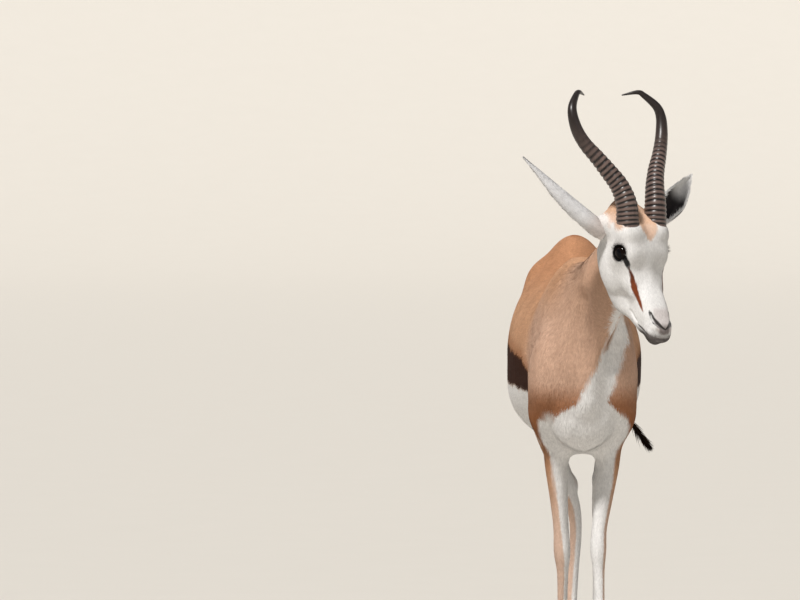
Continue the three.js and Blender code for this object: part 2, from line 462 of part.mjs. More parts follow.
// Ears: a leaf folded to a cup, open forwards and outwards
const EAR_WALL = 2.4;
function earLoft(table, s, open) {
  const S = stations(table.map((p) => [...yaw3([s * p[0], p[1], p[2]]), p[3]]), 2);
  const rings = S.map((p, i) => {
    const a = S[Math.max(0, i - 1)], b = S[Math.min(S.length - 1, i + 1)], t = norm3(sub3(b.slice(0, 3), a.slice(0, 3)));
    const f = norm3(sub3(open, mul3(t, dot3(open, t)))), w = cross3(t, f), ring = [];
    const c = p.slice(0, 3), half = p[3], deep = half * 0.9, wall = Math.min(EAR_WALL, half * 0.5);
    const M = 5;
    for (let j = 0; j <= M; j++) {
      const g = ((j / M) * 2 - 1) * 1.75;
      ring.push(add3(c, add3(mul3(w, Math.sin(g) * half), mul3(f, (0.45 - Math.cos(g)) * deep))));
    }
    for (let j = M; j >= 0; j--) {
      const g = ((j / M) * 2 - 1) * 1.6;
      ring.push(add3(c, add3(mul3(w, Math.sin(g) * (half - wall)), mul3(f, (0.45 - Math.cos(g)) * deep + wall))));
    }
    return ring;
  });
  return loft(rings);
}
const OPEN_R = norm3([-0.66, 0.22, -0.7]);
const OPEN_L = norm3([0.52, -0.69, 0.45]);
let ears = [earLoft(EAR_RIGHT, -1, OPEN_R), earLoft(EAR_LEFT, 1, OPEN_L)];

head = main(head);
emit("head", head, WHITE, 0.8);
SIDES.forEach((s, i) => {
  const side = s < 0 ? "right" : "left";
  const horn = main(horns[i].subtract(head));
  const ear = main(ears[i].subtract(head).subtract(horns[i]));
  emit("horn_" + side, horn, DARK, 0.4);
  emit("ear_" + side, ear, WHITE, 0.85);
  emit("eye_" + side, eyes[i], BLACK, 0.08);
});

// Legs
const LEG = {
  foreleg_left: { s: 1, cut: FORE_CUT, mid: 0, joint: CARPUS.left, foot: FEET[0] },
  foreleg_right: { s: -1, cut: FORE_CUT, mid: 0, joint: CARPUS.right, foot: FEET[1] },
  hindleg_right: { s: -1, cut: HIND_CUT, mid: -2, joint: HOCK.right, foot: FEET[2] },
  hindleg_left: { s: 1, cut: HIND_CUT, mid: -2, joint: HOCK.left, foot: FEET[3] },
};
for (const [name, L] of Object.entries(LEG)) {
  const prim = PRIMS.find((p) => p.name === name), axis = [];
  for (const g of prim.segs) axis.push(g.p0);
  const last = prim.segs[prim.segs.length - 1];
  axis.push(add3(last.p0, mul3(last.t, last.L)));
  const where = (z) => {
    for (let i = 0; i < axis.length - 1; i++) {
      const a = axis[i], b = axis[i + 1];
      if (z <= a[2] && z >= b[2]) return mix3(a, b, (a[2] - z) / (a[2] - b[2] || 1));
    }
    if (z > axis[0][2]) {
      const a = axis[0], b = axis[6];
      return mix3(a, b, (a[2] - z) / (a[2] - b[2]));
    }
    const e = axis[axis.length - 1];
    return [e[0], e[1], z];
  };
  const fore = name.startsWith("fore");
  const topZ = fore ? 530 : 660, zs = [];
  const jz = L.joint[1];
  const inner = (x) => L.s * (x - L.mid) > 7;
  const upper = fore ? [530, 505, 480, 455, 430, 400, 365, 330, 300, 280, 262, 245] : THIGH[L.s > 0 ? "left" : "right"];
  const lower = fore ? [290, 272, 256, 240, 222, 190, 155, 125, 108, 92, 76, 60, 45, 30] : [372, 355, 340, 322, 300, 270, 225, 170, 130, 110, 95, 78, 60, 45, 30];
  const cutN = fore ? [0, 0, 1] : [0, -0.25, 0.97];
  const cutC = [0, L.joint[0], jz];
  let up = legLoft(fore ? upper.map(where) : upper, 12, fore ? 85 : 150, ["trunk", "leg"], inner);
  up = main(up.intersect(legRegion(L.cut, L.s, L.mid, 0)).intersect(above(cutC, cutN, 0)));
  emit(name + "_upper", up, fore ? WHITE : FAWN, 0.85);
  const n = norm3([0, CORONET_SLOPE, 1]);
  const fc = [L.foot[1], L.foot[2], HOOF_TOP];
  let low = legLoft(lower.map(where), 10, 45, ["leg"]);
  low = main(low.intersect(below(cutC, cutN, -GAP)).intersect(above(fc, n, 0)));
  emit(name + "_lower", low, WHITE, 0.85);
  // two claws, inner and outer
  for (const c of [-1, 1]) {
    const rings = [];
    for (const [z, front, back, w] of [[0, 37.4, 22.6, 8.8], [14, 30.8, 22.8, 9], [32, 19.4, 21.6, 8.4], [52, 8, 19.8, 7.6]]) {
      const ring = [];
      for (let j = 0; j < 10; j++) {
        const a = ((j + 0.5) / 10) * Math.PI * 2, cx = Math.cos(a), cy = Math.sin(a);
        const point = cy < 0 ? 1 - 0.55 * Math.pow(-cy, 2.2) : 1;
        ring.push([L.foot[1] + c * 9.6 + cx * w * point - c * (cy < 0 ? 1.5 * cy * cy : 0), L.foot[2] + (cy < 0 ? cy * front : cy * back), z]);
      }
      rings.push(ring);
    }
    let hoof = loft(rings).intersect(below(fc, n, -GAP));
    const half = c > 0 ? above([L.foot[1], 0, 0], [1, 0, 0], -0.25) : below([L.foot[1], 0, 0], [1, 0, 0], -0.25);
    hoof = main(hoof.intersect(half));
    const place = L.s * c > 0 ? "outer" : "inner";
    emit("hoof_" + L.foot[0] + "_" + place, hoof, DARK, 0.45);
  }
}

// Tail
const tailSolid = (() => {
  const S = stations(TAIL, 2);
  return loft(S.map((p, i) => {
    const a = S[Math.max(0, i - 1)], b = S[Math.min(S.length - 1, i + 1)], t = norm3(sub3(b.slice(0, 3), a.slice(0, 3)));
    const side = norm3(sub3([0.9, 0, 0.4], mul3(t, 0.9 * t[0] + 0.4 * t[2]))), o = cross3(t, side), ring = [];
    for (let j = 0; j < 8; j++) {
      const g = (j / 8) * Math.PI * 2;
      ring.push(add3(p.slice(0, 3), add3(mul3(side, Math.cos(g) * p[3]), mul3(o, Math.sin(g) * p[4]))));
    }
    return ring;
  }));
})();
const grownTrunk = shell([-170, 300, 395], [170, 480, 875], TRUNK_STEP, ["trunk", "leg"], null, 1.2);
emit("tail", main(tailSolid.subtract(grownTrunk).subtract(trunk)), WHITE, 0.85);

export default out;
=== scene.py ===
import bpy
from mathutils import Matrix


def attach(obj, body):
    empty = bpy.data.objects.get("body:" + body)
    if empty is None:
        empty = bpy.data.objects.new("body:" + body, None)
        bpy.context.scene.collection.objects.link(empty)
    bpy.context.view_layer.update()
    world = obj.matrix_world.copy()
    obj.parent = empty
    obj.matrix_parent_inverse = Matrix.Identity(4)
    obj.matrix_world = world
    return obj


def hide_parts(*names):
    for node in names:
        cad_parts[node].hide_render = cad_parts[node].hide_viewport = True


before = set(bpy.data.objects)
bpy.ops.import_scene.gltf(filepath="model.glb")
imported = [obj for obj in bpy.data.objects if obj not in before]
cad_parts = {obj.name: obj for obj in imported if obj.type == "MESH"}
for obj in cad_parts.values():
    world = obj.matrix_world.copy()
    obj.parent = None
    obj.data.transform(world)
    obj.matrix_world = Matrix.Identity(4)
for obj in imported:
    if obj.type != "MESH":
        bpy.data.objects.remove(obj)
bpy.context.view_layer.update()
import math
import bpy
import bmesh
import numpy as np
from mathutils import Vector

# A springbok, walking, head turned to its left. Shapes are worked out in millimetres in the animal's own frame
# (it faces -Y, its left is +X) and moved by SHIFT on to the model's frame in metres.
SHIFT = np.array([-31.50, 57.25, 0.0])
SKIN_STEP = 3.4
RNG = np.random.default_rng(20)

def add3(a, b): return [a[0]+b[0], a[1]+b[1], a[2]+b[2]]
def mul3(a, s): return [a[0]*s, a[1]*s, a[2]*s]
def dot3(a, b): return a[0]*b[0]+a[1]*b[1]+a[2]*b[2]
def norm3(a):
    n = math.sqrt(dot3(a, a)) or 1.0
    return [a[0]/n, a[1]/n, a[2]/n]
def sind(a): return math.sin(math.radians(a))
def cosd(a): return math.cos(math.radians(a))
XYZ = [[1, 0, 0], [0, 1, 0], [0, 0, 1]]

PRIMS = []
def ell(grp, name, c, r, ax, k, op=1):
    PRIMS.append(dict(kind="ell", grp=grp, name=name, c=np.array(c, float), r=np.array(r, float),
                      ax=np.array([norm3(v) for v in ax], float), k=float(k), op=op))

def catmull(pts, n):
    P = np.array(pts, float)
    out = []
    m = len(P)
    for i in range(m-1):
        p0 = P[i-1] if i > 0 else 2*P[0]-P[1]
        p1, p2 = P[i], P[i+1]
        p3 = P[i+2] if i+2 < m else 2*P[m-1]-P[m-2]
        for j in range(n):
            t = j/n
            out.append(0.5*((2*p1)+(-p0+p2)*t+(2*p0-5*p1+4*p2-p3)*t*t+(-p0+3*p1-3*p2+p3)*t*t*t))
    out.append(P[-1])
    return np.array(out)

def tube(grp, name, pts, side, k, op=1, n=6):
    S = catmull(pts, n)
    segs = []
    for i in range(len(S)-1):
        p0, p1 = S[i, :3], S[i+1, :3]
        d = p1-p0
        L = np.linalg.norm(d)
        if L < 1e-6: continue
        t = d/L
        s = np.array(side, float)
        s = s-(s@t)*t
        s /= np.linalg.norm(s)
        o = np.cross(t, s)
        segs.append((p0, t, L, s, o, S[i, 3], S[i+1, 3], S[i, 4], S[i+1, 4]))
    PRIMS.append(dict(kind="tube", grp=grp, name=name, segs=segs, k=float(k), op=op))

def d_ell(pr, X, Y, Z):
    c, r, ax = pr["c"], pr["r"], pr["ax"]
    x, y, z = X-c[0], Y-c[1], Z-c[2]
    u = x*ax[0, 0]+y*ax[0, 1]+z*ax[0, 2]
    v = x*ax[1, 0]+y*ax[1, 1]+z*ax[1, 2]
    w = x*ax[2, 0]+y*ax[2, 1]+z*ax[2, 2]
    k0 = np.sqrt((u/r[0])**2+(v/r[1])**2+(w/r[2])**2)
    k1 = np.sqrt((u/r[0]**2)**2+(v/r[1]**2)**2+(w/r[2]**2)**2)
    return np.where(k1 > 1e-9, k0*(k0-1)/np.maximum(k1, 1e-9), -float(r.min()))

def d_seg(sg, X, Y, Z):
    p0, t, L, s, o, a0, a1, b0, b1 = sg
    x, y, z = X-p0[0], Y-p0[1], Z-p0[2]
    h = x*t[0]+y*t[1]+z*t[2]
    hc = np.clip(h/L, 0, 1)
    w = h-hc*L
    u = x*s[0]+y*s[1]+z*s[2]
    v = x*o[0]+y*o[1]+z*o[2]
    a = a0+(a1-a0)*hc
    b = b0+(b1-b0)*hc
    c = np.minimum(a, b)
    k0 = np.sqrt((u/a)**2+(v/b)**2+(w/c)**2)
    k1 = np.sqrt((u/(a*a))**2+(v/(b*b))**2+(w/(c*c))**2)
    return np.where(k1 > 1e-9, k0*(k0-1)/np.maximum(k1, 1e-9), -c)

def smin(a, b, k):
    if k <= 0: return np.minimum(a, b)
    h = np.maximum(k-np.abs(a-b), 0)/k
    return np.minimum(a, b)-h*h*k*0.25

def combine(F, d, k, op):
    return smin(F, d, k) if op > 0 else -smin(-F, d, k)

def seg_box(sg, pad):
    p0, t, L, s, o, a0, a1, b0, b1 = sg
    p1 = p0+t*L
    R = max(a0, a1, b0, b1)+pad
    return np.minimum(p0, p1)-R, np.maximum(p0, p1)+R

def ell_box(pr, pad):
    e = np.sqrt(((pr["ax"]*pr["r"][:, None])**2).sum(0))
    return pr["c"]-e-pad, pr["c"]+e+pad

FAR = 60.0

def smooth(x, a, b):
    t = np.clip((x-a)/(b-a), 0, 1)
    return t*t*(3-2*t)

# The coat's depth over the skin: deepest on the back and rump, least on face and lower legs
def coat_depth(X, Y, Z):
    head = smooth(np.sqrt((X-88)**2+(Y+515)**2+(Z-790)**2), 190, 95)
    leg = smooth(Z, 430, 330)
    return 2.1-0.9*np.maximum(head, leg)

# How far off its surface a shape still counts
def reach(pr, h=4.0):
    return pr["k"]+3*h if pr["grp"] == "detail" else (62.0 if pr["grp"] in ("trunk", "neck") else 40.0)

def field_points(P, detail=True, offset=True):
    X, Y, Z = P[:, 0], P[:, 1], P[:, 2]
    F = np.full(len(P), FAR)
    for late in (False, True):
        if late:
            if offset: F = F+coat_depth(X, Y, Z)
            if not detail: break
        for pr in PRIMS:
            if (pr["grp"] == "detail") != late: continue
            pad = reach(pr)
            boxes = [ell_box(pr, pad)] if pr["kind"] == "ell" else [seg_box(s, pad) for s in pr["segs"]]
            lo = np.min([b[0] for b in boxes], 0); hi = np.max([b[1] for b in boxes], 0)
            i = np.nonzero((X > lo[0])&(X < hi[0])&(Y > lo[1])&(Y < hi[1])&(Z > lo[2])&(Z < hi[2]))[0]
            if not len(i): continue
            x, y, z = X[i], Y[i], Z[i]
            if pr["kind"] == "ell": d = d_ell(pr, x, y, z)
            else:
                d = np.full(len(i), FAR)
                for sg, (l2, h2) in zip(pr["segs"], boxes):
                    j = np.nonzero((x > l2[0])&(x < h2[0])&(y > l2[1])&(y < h2[1])&(z > l2[2])&(z < h2[2]))[0]
                    if len(j): d[j] = np.minimum(d[j], d_seg(sg, x[j], y[j], z[j]))
            F[i] = combine(F[i], d, pr["k"], pr["op"])
    return F

def field_grid(lo, hi, h):
    lo = np.array(lo, float)
    n = np.ceil((np.array(hi)-lo)/h).astype(int)+1
    ax = [np.arange(n[i])*h+lo[i] for i in range(3)]
    F = np.full(n, FAR, np.float32)
    def rng(l, u):
        return np.maximum(np.floor((l-lo)/h).astype(int), 0), np.minimum(np.ceil((u-lo)/h).astype(int)+1, n)
    for late in (False, True):
        if late: F += coat_depth(ax[0][:, None, None], ax[1][None, :, None], ax[2][None, None, :]).astype(np.float32)
        for pr in PRIMS:
            if (pr["grp"] == "detail") != late: continue
            pad = reach(pr, h)
            boxes = [ell_box(pr, pad)] if pr["kind"] == "ell" else [seg_box(s, pad) for s in pr["segs"]]
            a, b = rng(np.min([q[0] for q in boxes], 0), np.max([q[1] for q in boxes], 0))
            if (b <= a).any(): continue
            D = np.full(b-a, FAR, np.float32)
            todo = [None] if pr["kind"] == "ell" else pr["segs"]
            for sg, (l3, h3) in zip(todo, boxes):
                c, e = rng(l3, h3)
                if (e <= c).any(): continue
                sl = tuple(slice(c[i], e[i]) for i in range(3))
                s2 = tuple(slice(c[i]-a[i], e[i]-a[i]) for i in range(3))
                X = ax[0][sl[0]][:, None, None]; Y = ax[1][sl[1]][None, :, None]; Z = ax[2][sl[2]][None, None, :]
                d = d_ell(pr, X, Y, Z) if sg is None else d_seg(sg, X, Y, Z)
                D[s2] = np.minimum(D[s2], d.astype(np.float32))
            sl = tuple(slice(a[i], b[i]) for i in range(3))
            F[sl] = combine(F[sl], D, pr["k"], pr["op"])
    return F

def surface_nets(F, lo, h):
    S = F < 0
    nx, ny, nz = F.shape
    cnt = np.zeros((nx-1, ny-1, nz-1), np.uint8)
    for a in (0, 1):
        for b in (0, 1):
            for c in (0, 1):
                cnt += S[a:nx-1+a, b:ny-1+b, c:nz-1+c]
    act = (cnt > 0)&(cnt < 8)
    I, J, K = np.nonzero(act)
    idx = np.full(act.shape, -1, np.int32)
    idx[I, J, K] = np.arange(len(I))
    acc = np.zeros((len(I), 3)); num = np.zeros(len(I))
    def corner(a, b, c): return F[I+a, J+b, K+c].astype(float)
    for axis in range(3):
        oth = [q for q in range(3) if q != axis]
        for u in (0, 1):
            for v in (0, 1):
                o0 = [0, 0, 0]; o0[oth[0]] = u; o0[oth[1]] = v
                o1 = list(o0); o1[axis] = 1
                f0, f1 = corner(*o0), corner(*o1)
                m = (f0 < 0) != (f1 < 0)
                t = np.where(m, f0/np.where(m, f0-f1, 1), 0)
                for q in range(3):
                    acc[:, q] += np.where(m, o0[q]+(t if q == axis else 0), 0)
                num += m
    V = (np.stack([I, J, K], 1)+acc/num[:, None])*h+np.array(lo)
    quads = []
    for axis in range(3):
        oth = [q for q in range(3) if q != axis]
        sl0 = [slice(None)]*3; sl1 = [slice(None)]*3
        sl0[axis] = slice(0, -1); sl1[axis] = slice(1, None)
        A, B = S[tuple(sl0)], S[tuple(sl1)]
        m = A != B
        for q in oth:
            e = [slice(None)]*3
            e[q] = slice(0, 1); m[tuple(e)] = False
            e[q] = slice(-1, None); m[tuple(e)] = False
        g = np.stack(np.nonzero(m), 1)
        ins = A[m]
        def cell(du, dv):
            c = g.copy(); c[:, oth[0]] -= du; c[:, oth[1]] -= dv
            return idx[c[:, 0], c[:, 1], c[:, 2]]
        Q = np.stack([cell(1, 1), cell(0, 1), cell(0, 0), cell(1, 0)], 1)
        flip = ins if axis != 1 else ~ins
        Q[~flip] = Q[~flip][:, ::-1]
        quads.append(Q)
    return V, np.concatenate(quads)

def gradient(P, e=0.6, detail=True):
    G = np.zeros_like(P)
    for i in range(3):
        d = np.zeros(3); d[i] = e
        G[:, i] = field_points(P+d, detail)-field_points(P-d, detail)
    return G/np.maximum(np.linalg.norm(G, axis=1, keepdims=True), 1e-9)

# Head: frame at the middle of the line through both eyes. l to its left, f along the face to the nose, u out of the forehead.
YAW = 39
PITCH = 66
EYE = [95, -525, 813]
HL = [cosd(YAW), sind(YAW), 0]
HF = [sind(YAW)*cosd(PITCH), -cosd(YAW)*cosd(PITCH), -sind(PITCH)]
HU = [sind(YAW)*sind(PITCH), -cosd(YAW)*sind(PITCH), cosd(PITCH)]
HAX = [HL, HF, HU]
def H(l, f, u):
    return add3(EYE, add3(mul3(HL, l), add3(mul3(HF, f), mul3(HU, u))))
def HS(l, f, u, a, b):
    p = H(l, f, u)
    return [p[0], p[1], p[2], a, b]
SIDES = [-1, 1]
# Trunk
tube("trunk", "barrel", [[0, -318, 552, 50, 62], [0, -280, 588, 76, 122], [0, -215, 608, 88, 160], [-2, -120, 604, 108, 157], [-6, -20, 608, 122, 153], [-9, 80, 618, 125, 147], [-8, 170, 648, 119, 138], [-5, 250, 676, 103, 126], [-4, 330, 688, 84, 102], [-4, 395, 690, 58, 66]], [1, 0, 0], 0)
tube("trunk", "spine", [[0, -275, 738, 18, 36], [0, -215, 740, 26, 44], [0, -120, 735, 32, 42], [0, 0, 732, 36, 41], [-2, 110, 744, 40, 46], [-3, 215, 778, 42, 57], [-4, 300, 770, 38, 54], [-4, 370, 738, 32, 42], [-4, 410, 712, 24, 30]], [1, 0, 0], 56)
for s in SIDES:
    ell("trunk", "hip", [s*58-3, 222, 752], [24, 40, 26], XYZ, 40)
    ell("trunk", "scapula", [s*40, -205, 700], [22, 60, 92], [[1, 0, s*0.32], [0, 1, 0], [-s*0.32, 0, 1]], 36)
    ell("trunk", "shoulder", [s*62, -272, 576], [36, 58, 62], XYZ, 40)
    ell("trunk", "shoulder_point", [s*62, -306, 600], [28, 46, 72], XYZ, 24)
    ell("trunk", "upper_arm", [s*60, -238, 520], [34, 58, 48], XYZ, 34)
    ell("trunk", "pectoral", [s*26, -298, 512], [28, 42, 48], XYZ, 26)
ell("trunk", "brisket", [0, -238, 494], [42, 92, 48], XYZ, 30)
# Neck
tube("neck", "neck", [[0, -195, 636, 60, 122], [5, -262, 668, 58, 110], [20, -325, 710, 51, 90], [38, -378, 750, 46, 73], [61, -430, 790, 43, 61], [76, -468, 826, 40, 51], [84, -488, 848, 36, 42]], [0.95, 0.3, 0], 50)
ell("trunk", "belly", [-10, 50, 548], [116, 190, 90], XYZ, 34)
# Hind quarters
tube("trunk", "thigh_right", [[-46, 318, 730, 44, 84], [-68, 296, 630, 46, 88], [-70, 254, 548, 38, 64]], [1, 0, 0], 36)
tube("trunk", "thigh_left", [[38, 322, 730, 44, 84], [62, 310, 630, 46, 88], [68, 280, 552, 38, 64]], [1, 0, 0], 36)
tube("trunk", "ham_right", [[-32, 404, 712, 36, 34], [-52, 386, 630, 42, 52], [-58, 340, 540, 32, 46], [-44, 316, 460, 20, 30]], [1, 0, 0], 30)
tube("trunk", "ham_left", [[24, 406, 712, 36, 34], [46, 398, 630, 42, 52], [58, 366, 540, 32, 46], [58, 366, 460, 20, 30]], [1, 0, 0], 30)
# Legs: stations from the body down to the coronet
tube("leg", "foreleg_left", [[56, -226, 512, 32, 56], [49, -218, 466, 27, 43], [46, -224, 416, 22.5, 32], [39, -235, 360, 17.5, 23.5], [31, -246, 307, 14.8, 18.5], [29, -253, 268, 15.6, 18.6], [30, -257, 230, 11.4, 14.4], [31, -264, 180, 10, 12.4], [31, -272, 125, 10.2, 12.8], [31, -276, 92, 13, 16], [31, -287, 60, 11.5, 12.6], [31, -296, 40, 14, 15]], [1, 0, 0], 26)
tube("leg", "foreleg_right", [[-56, -226, 512, 32, 56], [-48, -216, 466, 27, 43], [-46, -211, 416, 22.5, 32], [-42, -209, 360, 17.5, 23.5], [-38, -208, 307, 15, 18.5], [-36, -206, 262, 16, 18.6], [-35, -202, 226, 11.4, 14.4], [-35, -196, 180, 10, 12.4], [-35, -189, 125, 10.2, 12.8], [-35, -186, 92, 13, 16], [-35, -197, 60, 11.5, 12.6], [-35, -206, 40, 14, 15]], [1, 0, 0], 26)
tube("leg", "hindleg_right", [[-70, 246, 548, 34, 58], [-54, 270, 468, 26, 42], [-30, 302, 392, 17, 27], [-10, 325, 344, 14.5, 22], [-1, 330, 308, 13.2, 18], [1, 324, 262, 11.8, 14.6], [-4, 312, 200, 11.4, 13.6], [-8, 302, 135, 11.5, 13.8], [-11, 297, 95, 13.6, 16.4], [-13, 285, 62, 11.8, 13], [-14, 275, 40, 14, 15]], [1, 0, 0], 26)
tube("leg", "hindleg_left", [[68, 276, 552, 34, 58], [63, 318, 474, 26, 42], [55, 378, 402, 17, 27], [49, 420, 352, 14.5, 22], [47, 433, 314, 13.2, 18], [47, 438, 266, 11.8, 14.6], [47, 446, 200, 11.4, 13.6], [47, 452, 135, 11.5, 13.8], [47, 454, 95, 13.6, 16.4], [47, 443, 62, 11.8, 13], [47, 433, 40, 14, 15]], [1, 0, 0], 26)
ell("leg", "hock_right", [-7, 350, 352], [10, 13, 22], [[1, 0, 0], [0, 0.9, 0.43], [0, -0.43, 0.9]], 16)
ell("leg", "hock_left", [49, 446, 362], [10, 13, 22], [[1, 0, 0], [0, 0.9, 0.43], [0, -0.43, 0.9]], 16)
tube("leg", "tendon_right", [[-44, 330, 466, 12, 28], [-24, 334, 408, 8, 26], [-9, 342, 364, 8, 16]], [1, 0, 0], 22)
tube("leg", "tendon_left", [[62, 394, 472, 12, 28], [54, 418, 412, 8, 26], [49, 438, 372, 8, 16]], [1, 0, 0], 22)
for s in SIDES:
    ell("leg", "elbow", [s*54, -176, 486], [15, 20, 22], XYZ, 26)
# Dewclaws behind the fetlocks
for q in [[31, -261, 83], [-35, -171, 83], [-11, 312, 85], [47, 469, 85]]:
    ell("leg", "dewclaw", [q[0]-9, q[1], q[2]], [5.5, 7.5, 9.5], XYZ, 4)
    ell("leg", "dewclaw", [q[0]+9, q[1], q[2]], [5.5, 7.5, 9.5], XYZ, 4)
# Head
tube("head", "skull", [HS(0, -82, -10, 30, 30), HS(0, -54, -13, 39, 41), HS(0, -22, -14, 43, 47), HS(0, 12, -21, 40, 45), HS(0, 45, -22, 33, 37), HS(0, 76, -19, 29.5, 31.5), HS(0, 102, -15, 27.5, 28), HS(0, 126, -11, 26, 25), HS(0, 144, -10, 24, 21.5), HS(0, 153, -10, 20, 17)], HL, 26)
for s in SIDES:
    tube("head", "jaw", [HS(s*29, -26, -42, 10, 22), HS(s*27, 28, -56, 10, 22), HS(s*21, 66, -58, 10, 20), HS(s*16, 98, -42, 10, 13), HS(s*12, 130, -30, 9.5, 10)], HL, 18)
    ell("head", "cheek", H(s*31, 8, -38), [13, 44, 32], HAX, 20)
    ell("head", "brow", H(s*34, -8, 14), [14.5, 30, 15.5], HAX, 22)
    ell("head", "orbit", H(s*33, 2, -2), [20, 27, 25], HAX, 16)
    ell("head", "cheekbone", H(s*29, 36, -10), [10, 40, 14], HAX, 22)
    ell("head", "horn_boss", H(s*29, -40, 19), [25, 25, 23], HAX, 16)
    ell("head", "horn_collar", H(s*30, -27, 26), [23, 20, 20], HAX, 12)
    tube("head", "ear_root", [HS(s*32, -62, -14, 24, 22), HS(s*52, -66, -22, 17, 17)], HF, 24)
    ell("head", "nasal", H(s*12, 106, -3), [14, 36, 14], HAX, 14)
    ell("head", "upper_lip", H(s*13, 146, -8), [13.5, 20, 12.5], HAX, 8)
    ell("head", "nostril_wing", H(s*12.5, 140, 3), [10, 13, 9.5], HAX, 6)
ell("head", "forehead", H(0, -16, 8), [43, 42, 25], HAX, 24)
ell("head", "nose", H(0, 143, 4), [11, 14, 9], HAX, 8)
ell("head", "chin", H(0, 150, -24), [17, 18, 11.5], HAX, 8)
ell("head", "throat", H(0, -20, -52), [27, 46, 30], HAX, 26)
# Tail
tube("tail", "tail", [[-4, 398, 738, 17, 15], [-2, 426, 722, 13, 11], [9, 450, 694, 9.5, 8.5], [33, 463, 645, 8, 7], [62, 463, 585, 7, 6.5], [88, 456, 525, 6.5, 6], [106, 447, 484, 6.5, 6.5]], [0.9, 0, 0.4], 22)
# Horns: stations [to the side, forward, up, half-width, half-depth] from the middle of the eye line, head held level, turned by YAW
HORN = [[30.5, 6, 34, 19.5, 22], [31, 6, 44, 20, 22.5], [31.8, 5.5, 56, 20, 22], [32.8, 3, 89, 18.2, 20], [39, -8, 120, 15.8, 17.8], [53, -22.5, 147, 14.4, 15.8], [69, -35.5, 172, 13, 13.8], [85, -48.6, 195.5, 12, 12.2], [96.4, -57, 218.8, 11, 11], [101.8, -63, 243.8, 9.4, 9.2], [98.3, -69, 263.4, 7.8, 7.6], [80.6, -80, 283, 5.6, 5.4], [69, -85, 289, 4.2, 4], [45, -100, 284, 1.2, 1.2]]
# How much farther out the left horn stands at each station
LEAN = [0, 0, 0, 2.8, 4.8, 6.2, 8, 8, 6, 4, 2, 0, 0, 0]
# Ears: stations [to the side, forward, up, half-width]
EAR_RIGHT = [[44, -40, 42, 17], [62, -46, 54, 20], [92, -60, 79, 22], [124, -76, 109, 20.5], [152, -88, 138, 13.5], [172, -95, 158, 7.5], [185, -100, 171, 2.2]]
EAR_LEFT = [[44, -40, 44, 15], [64, -46, 54, 20], [99, -58, 69, 24], [136, -70, 88, 24.5], [167, -80, 110, 18], [190, -88, 128, 9], [204, -93, 139, 2.2]]
EYE_AT = [37.5, 0, 3]
EYE_R = 17.5
TAIL = [[-4, 400, 738, 15, 13], [-2, 427, 722, 12, 10], [9, 450, 694, 9.5, 8.5], [33, 463, 645, 8, 7], [62, 463, 585, 7, 6.5], [88, 456, 525, 6.5, 6], [105, 447, 483, 6, 5.5], [123, 440, 457, 4.6, 4.2], [137, 436, 438, 3, 2.8], [148, 434, 424, 1.2, 1.2]]
# Hooves: middle of the foot, one for each leg [name, x, y]
FEET = [["front_left", 31, -300], ["front_right", -35, -210], ["hind_right", -15, 268], ["hind_left", 47, 429]]
HOOF_TOP = 38
CORONET_SLOPE = 0.34
# Openings and folds of the head, worked into the skin
EYE_TILT = [1, 0.08, 0.24]
EYE_GLOBE = 17.5
LID = 18.4
INNER_CORNER = 40
def eye_axes(s):
    # Out of the eye, along the face, out of the forehead
    n = norm3(add3(mul3(HL, s*EYE_TILT[0]), add3(mul3(HF, EYE_TILT[1]), mul3(HU, EYE_TILT[2]))))
    a = norm3(add3(HF, mul3(n, -dot3(HF, n))))
    b = norm3(add3(HU, add3(mul3(n, -dot3(HU, n)), mul3(a, -dot3(HU, a)))))
    return [n, a, b]
def on_eye(s, radius, angle, turn):
    # A point at this angle from the eye's axis, turned from straight down the face towards the forehead
    c = H(s*EYE_AT[0], EYE_AT[1], EYE_AT[2])
    n, a, b = eye_axes(s)
    x, y = cosd(turn)*sind(angle), sind(turn)*sind(angle)
    return add3(c, add3(mul3(n, radius*cosd(angle)), add3(mul3(a, radius*x), mul3(b, radius*y))))
def lid_angle(turn):
    c = cosd(turn-INNER_CORNER)
    return 47+4*c**2+7*max(c, 0)**8
def lid(s, start, stop, n, extra, radius, thick):
    out = []
    for i in range(n+1):
        turn = start+(stop-start)*i/n
        w = thick*(0.75+0.25*sind(180*i/n))
        out.append(on_eye(s, radius, lid_angle(turn)+extra, turn)+[w, w])
    return out
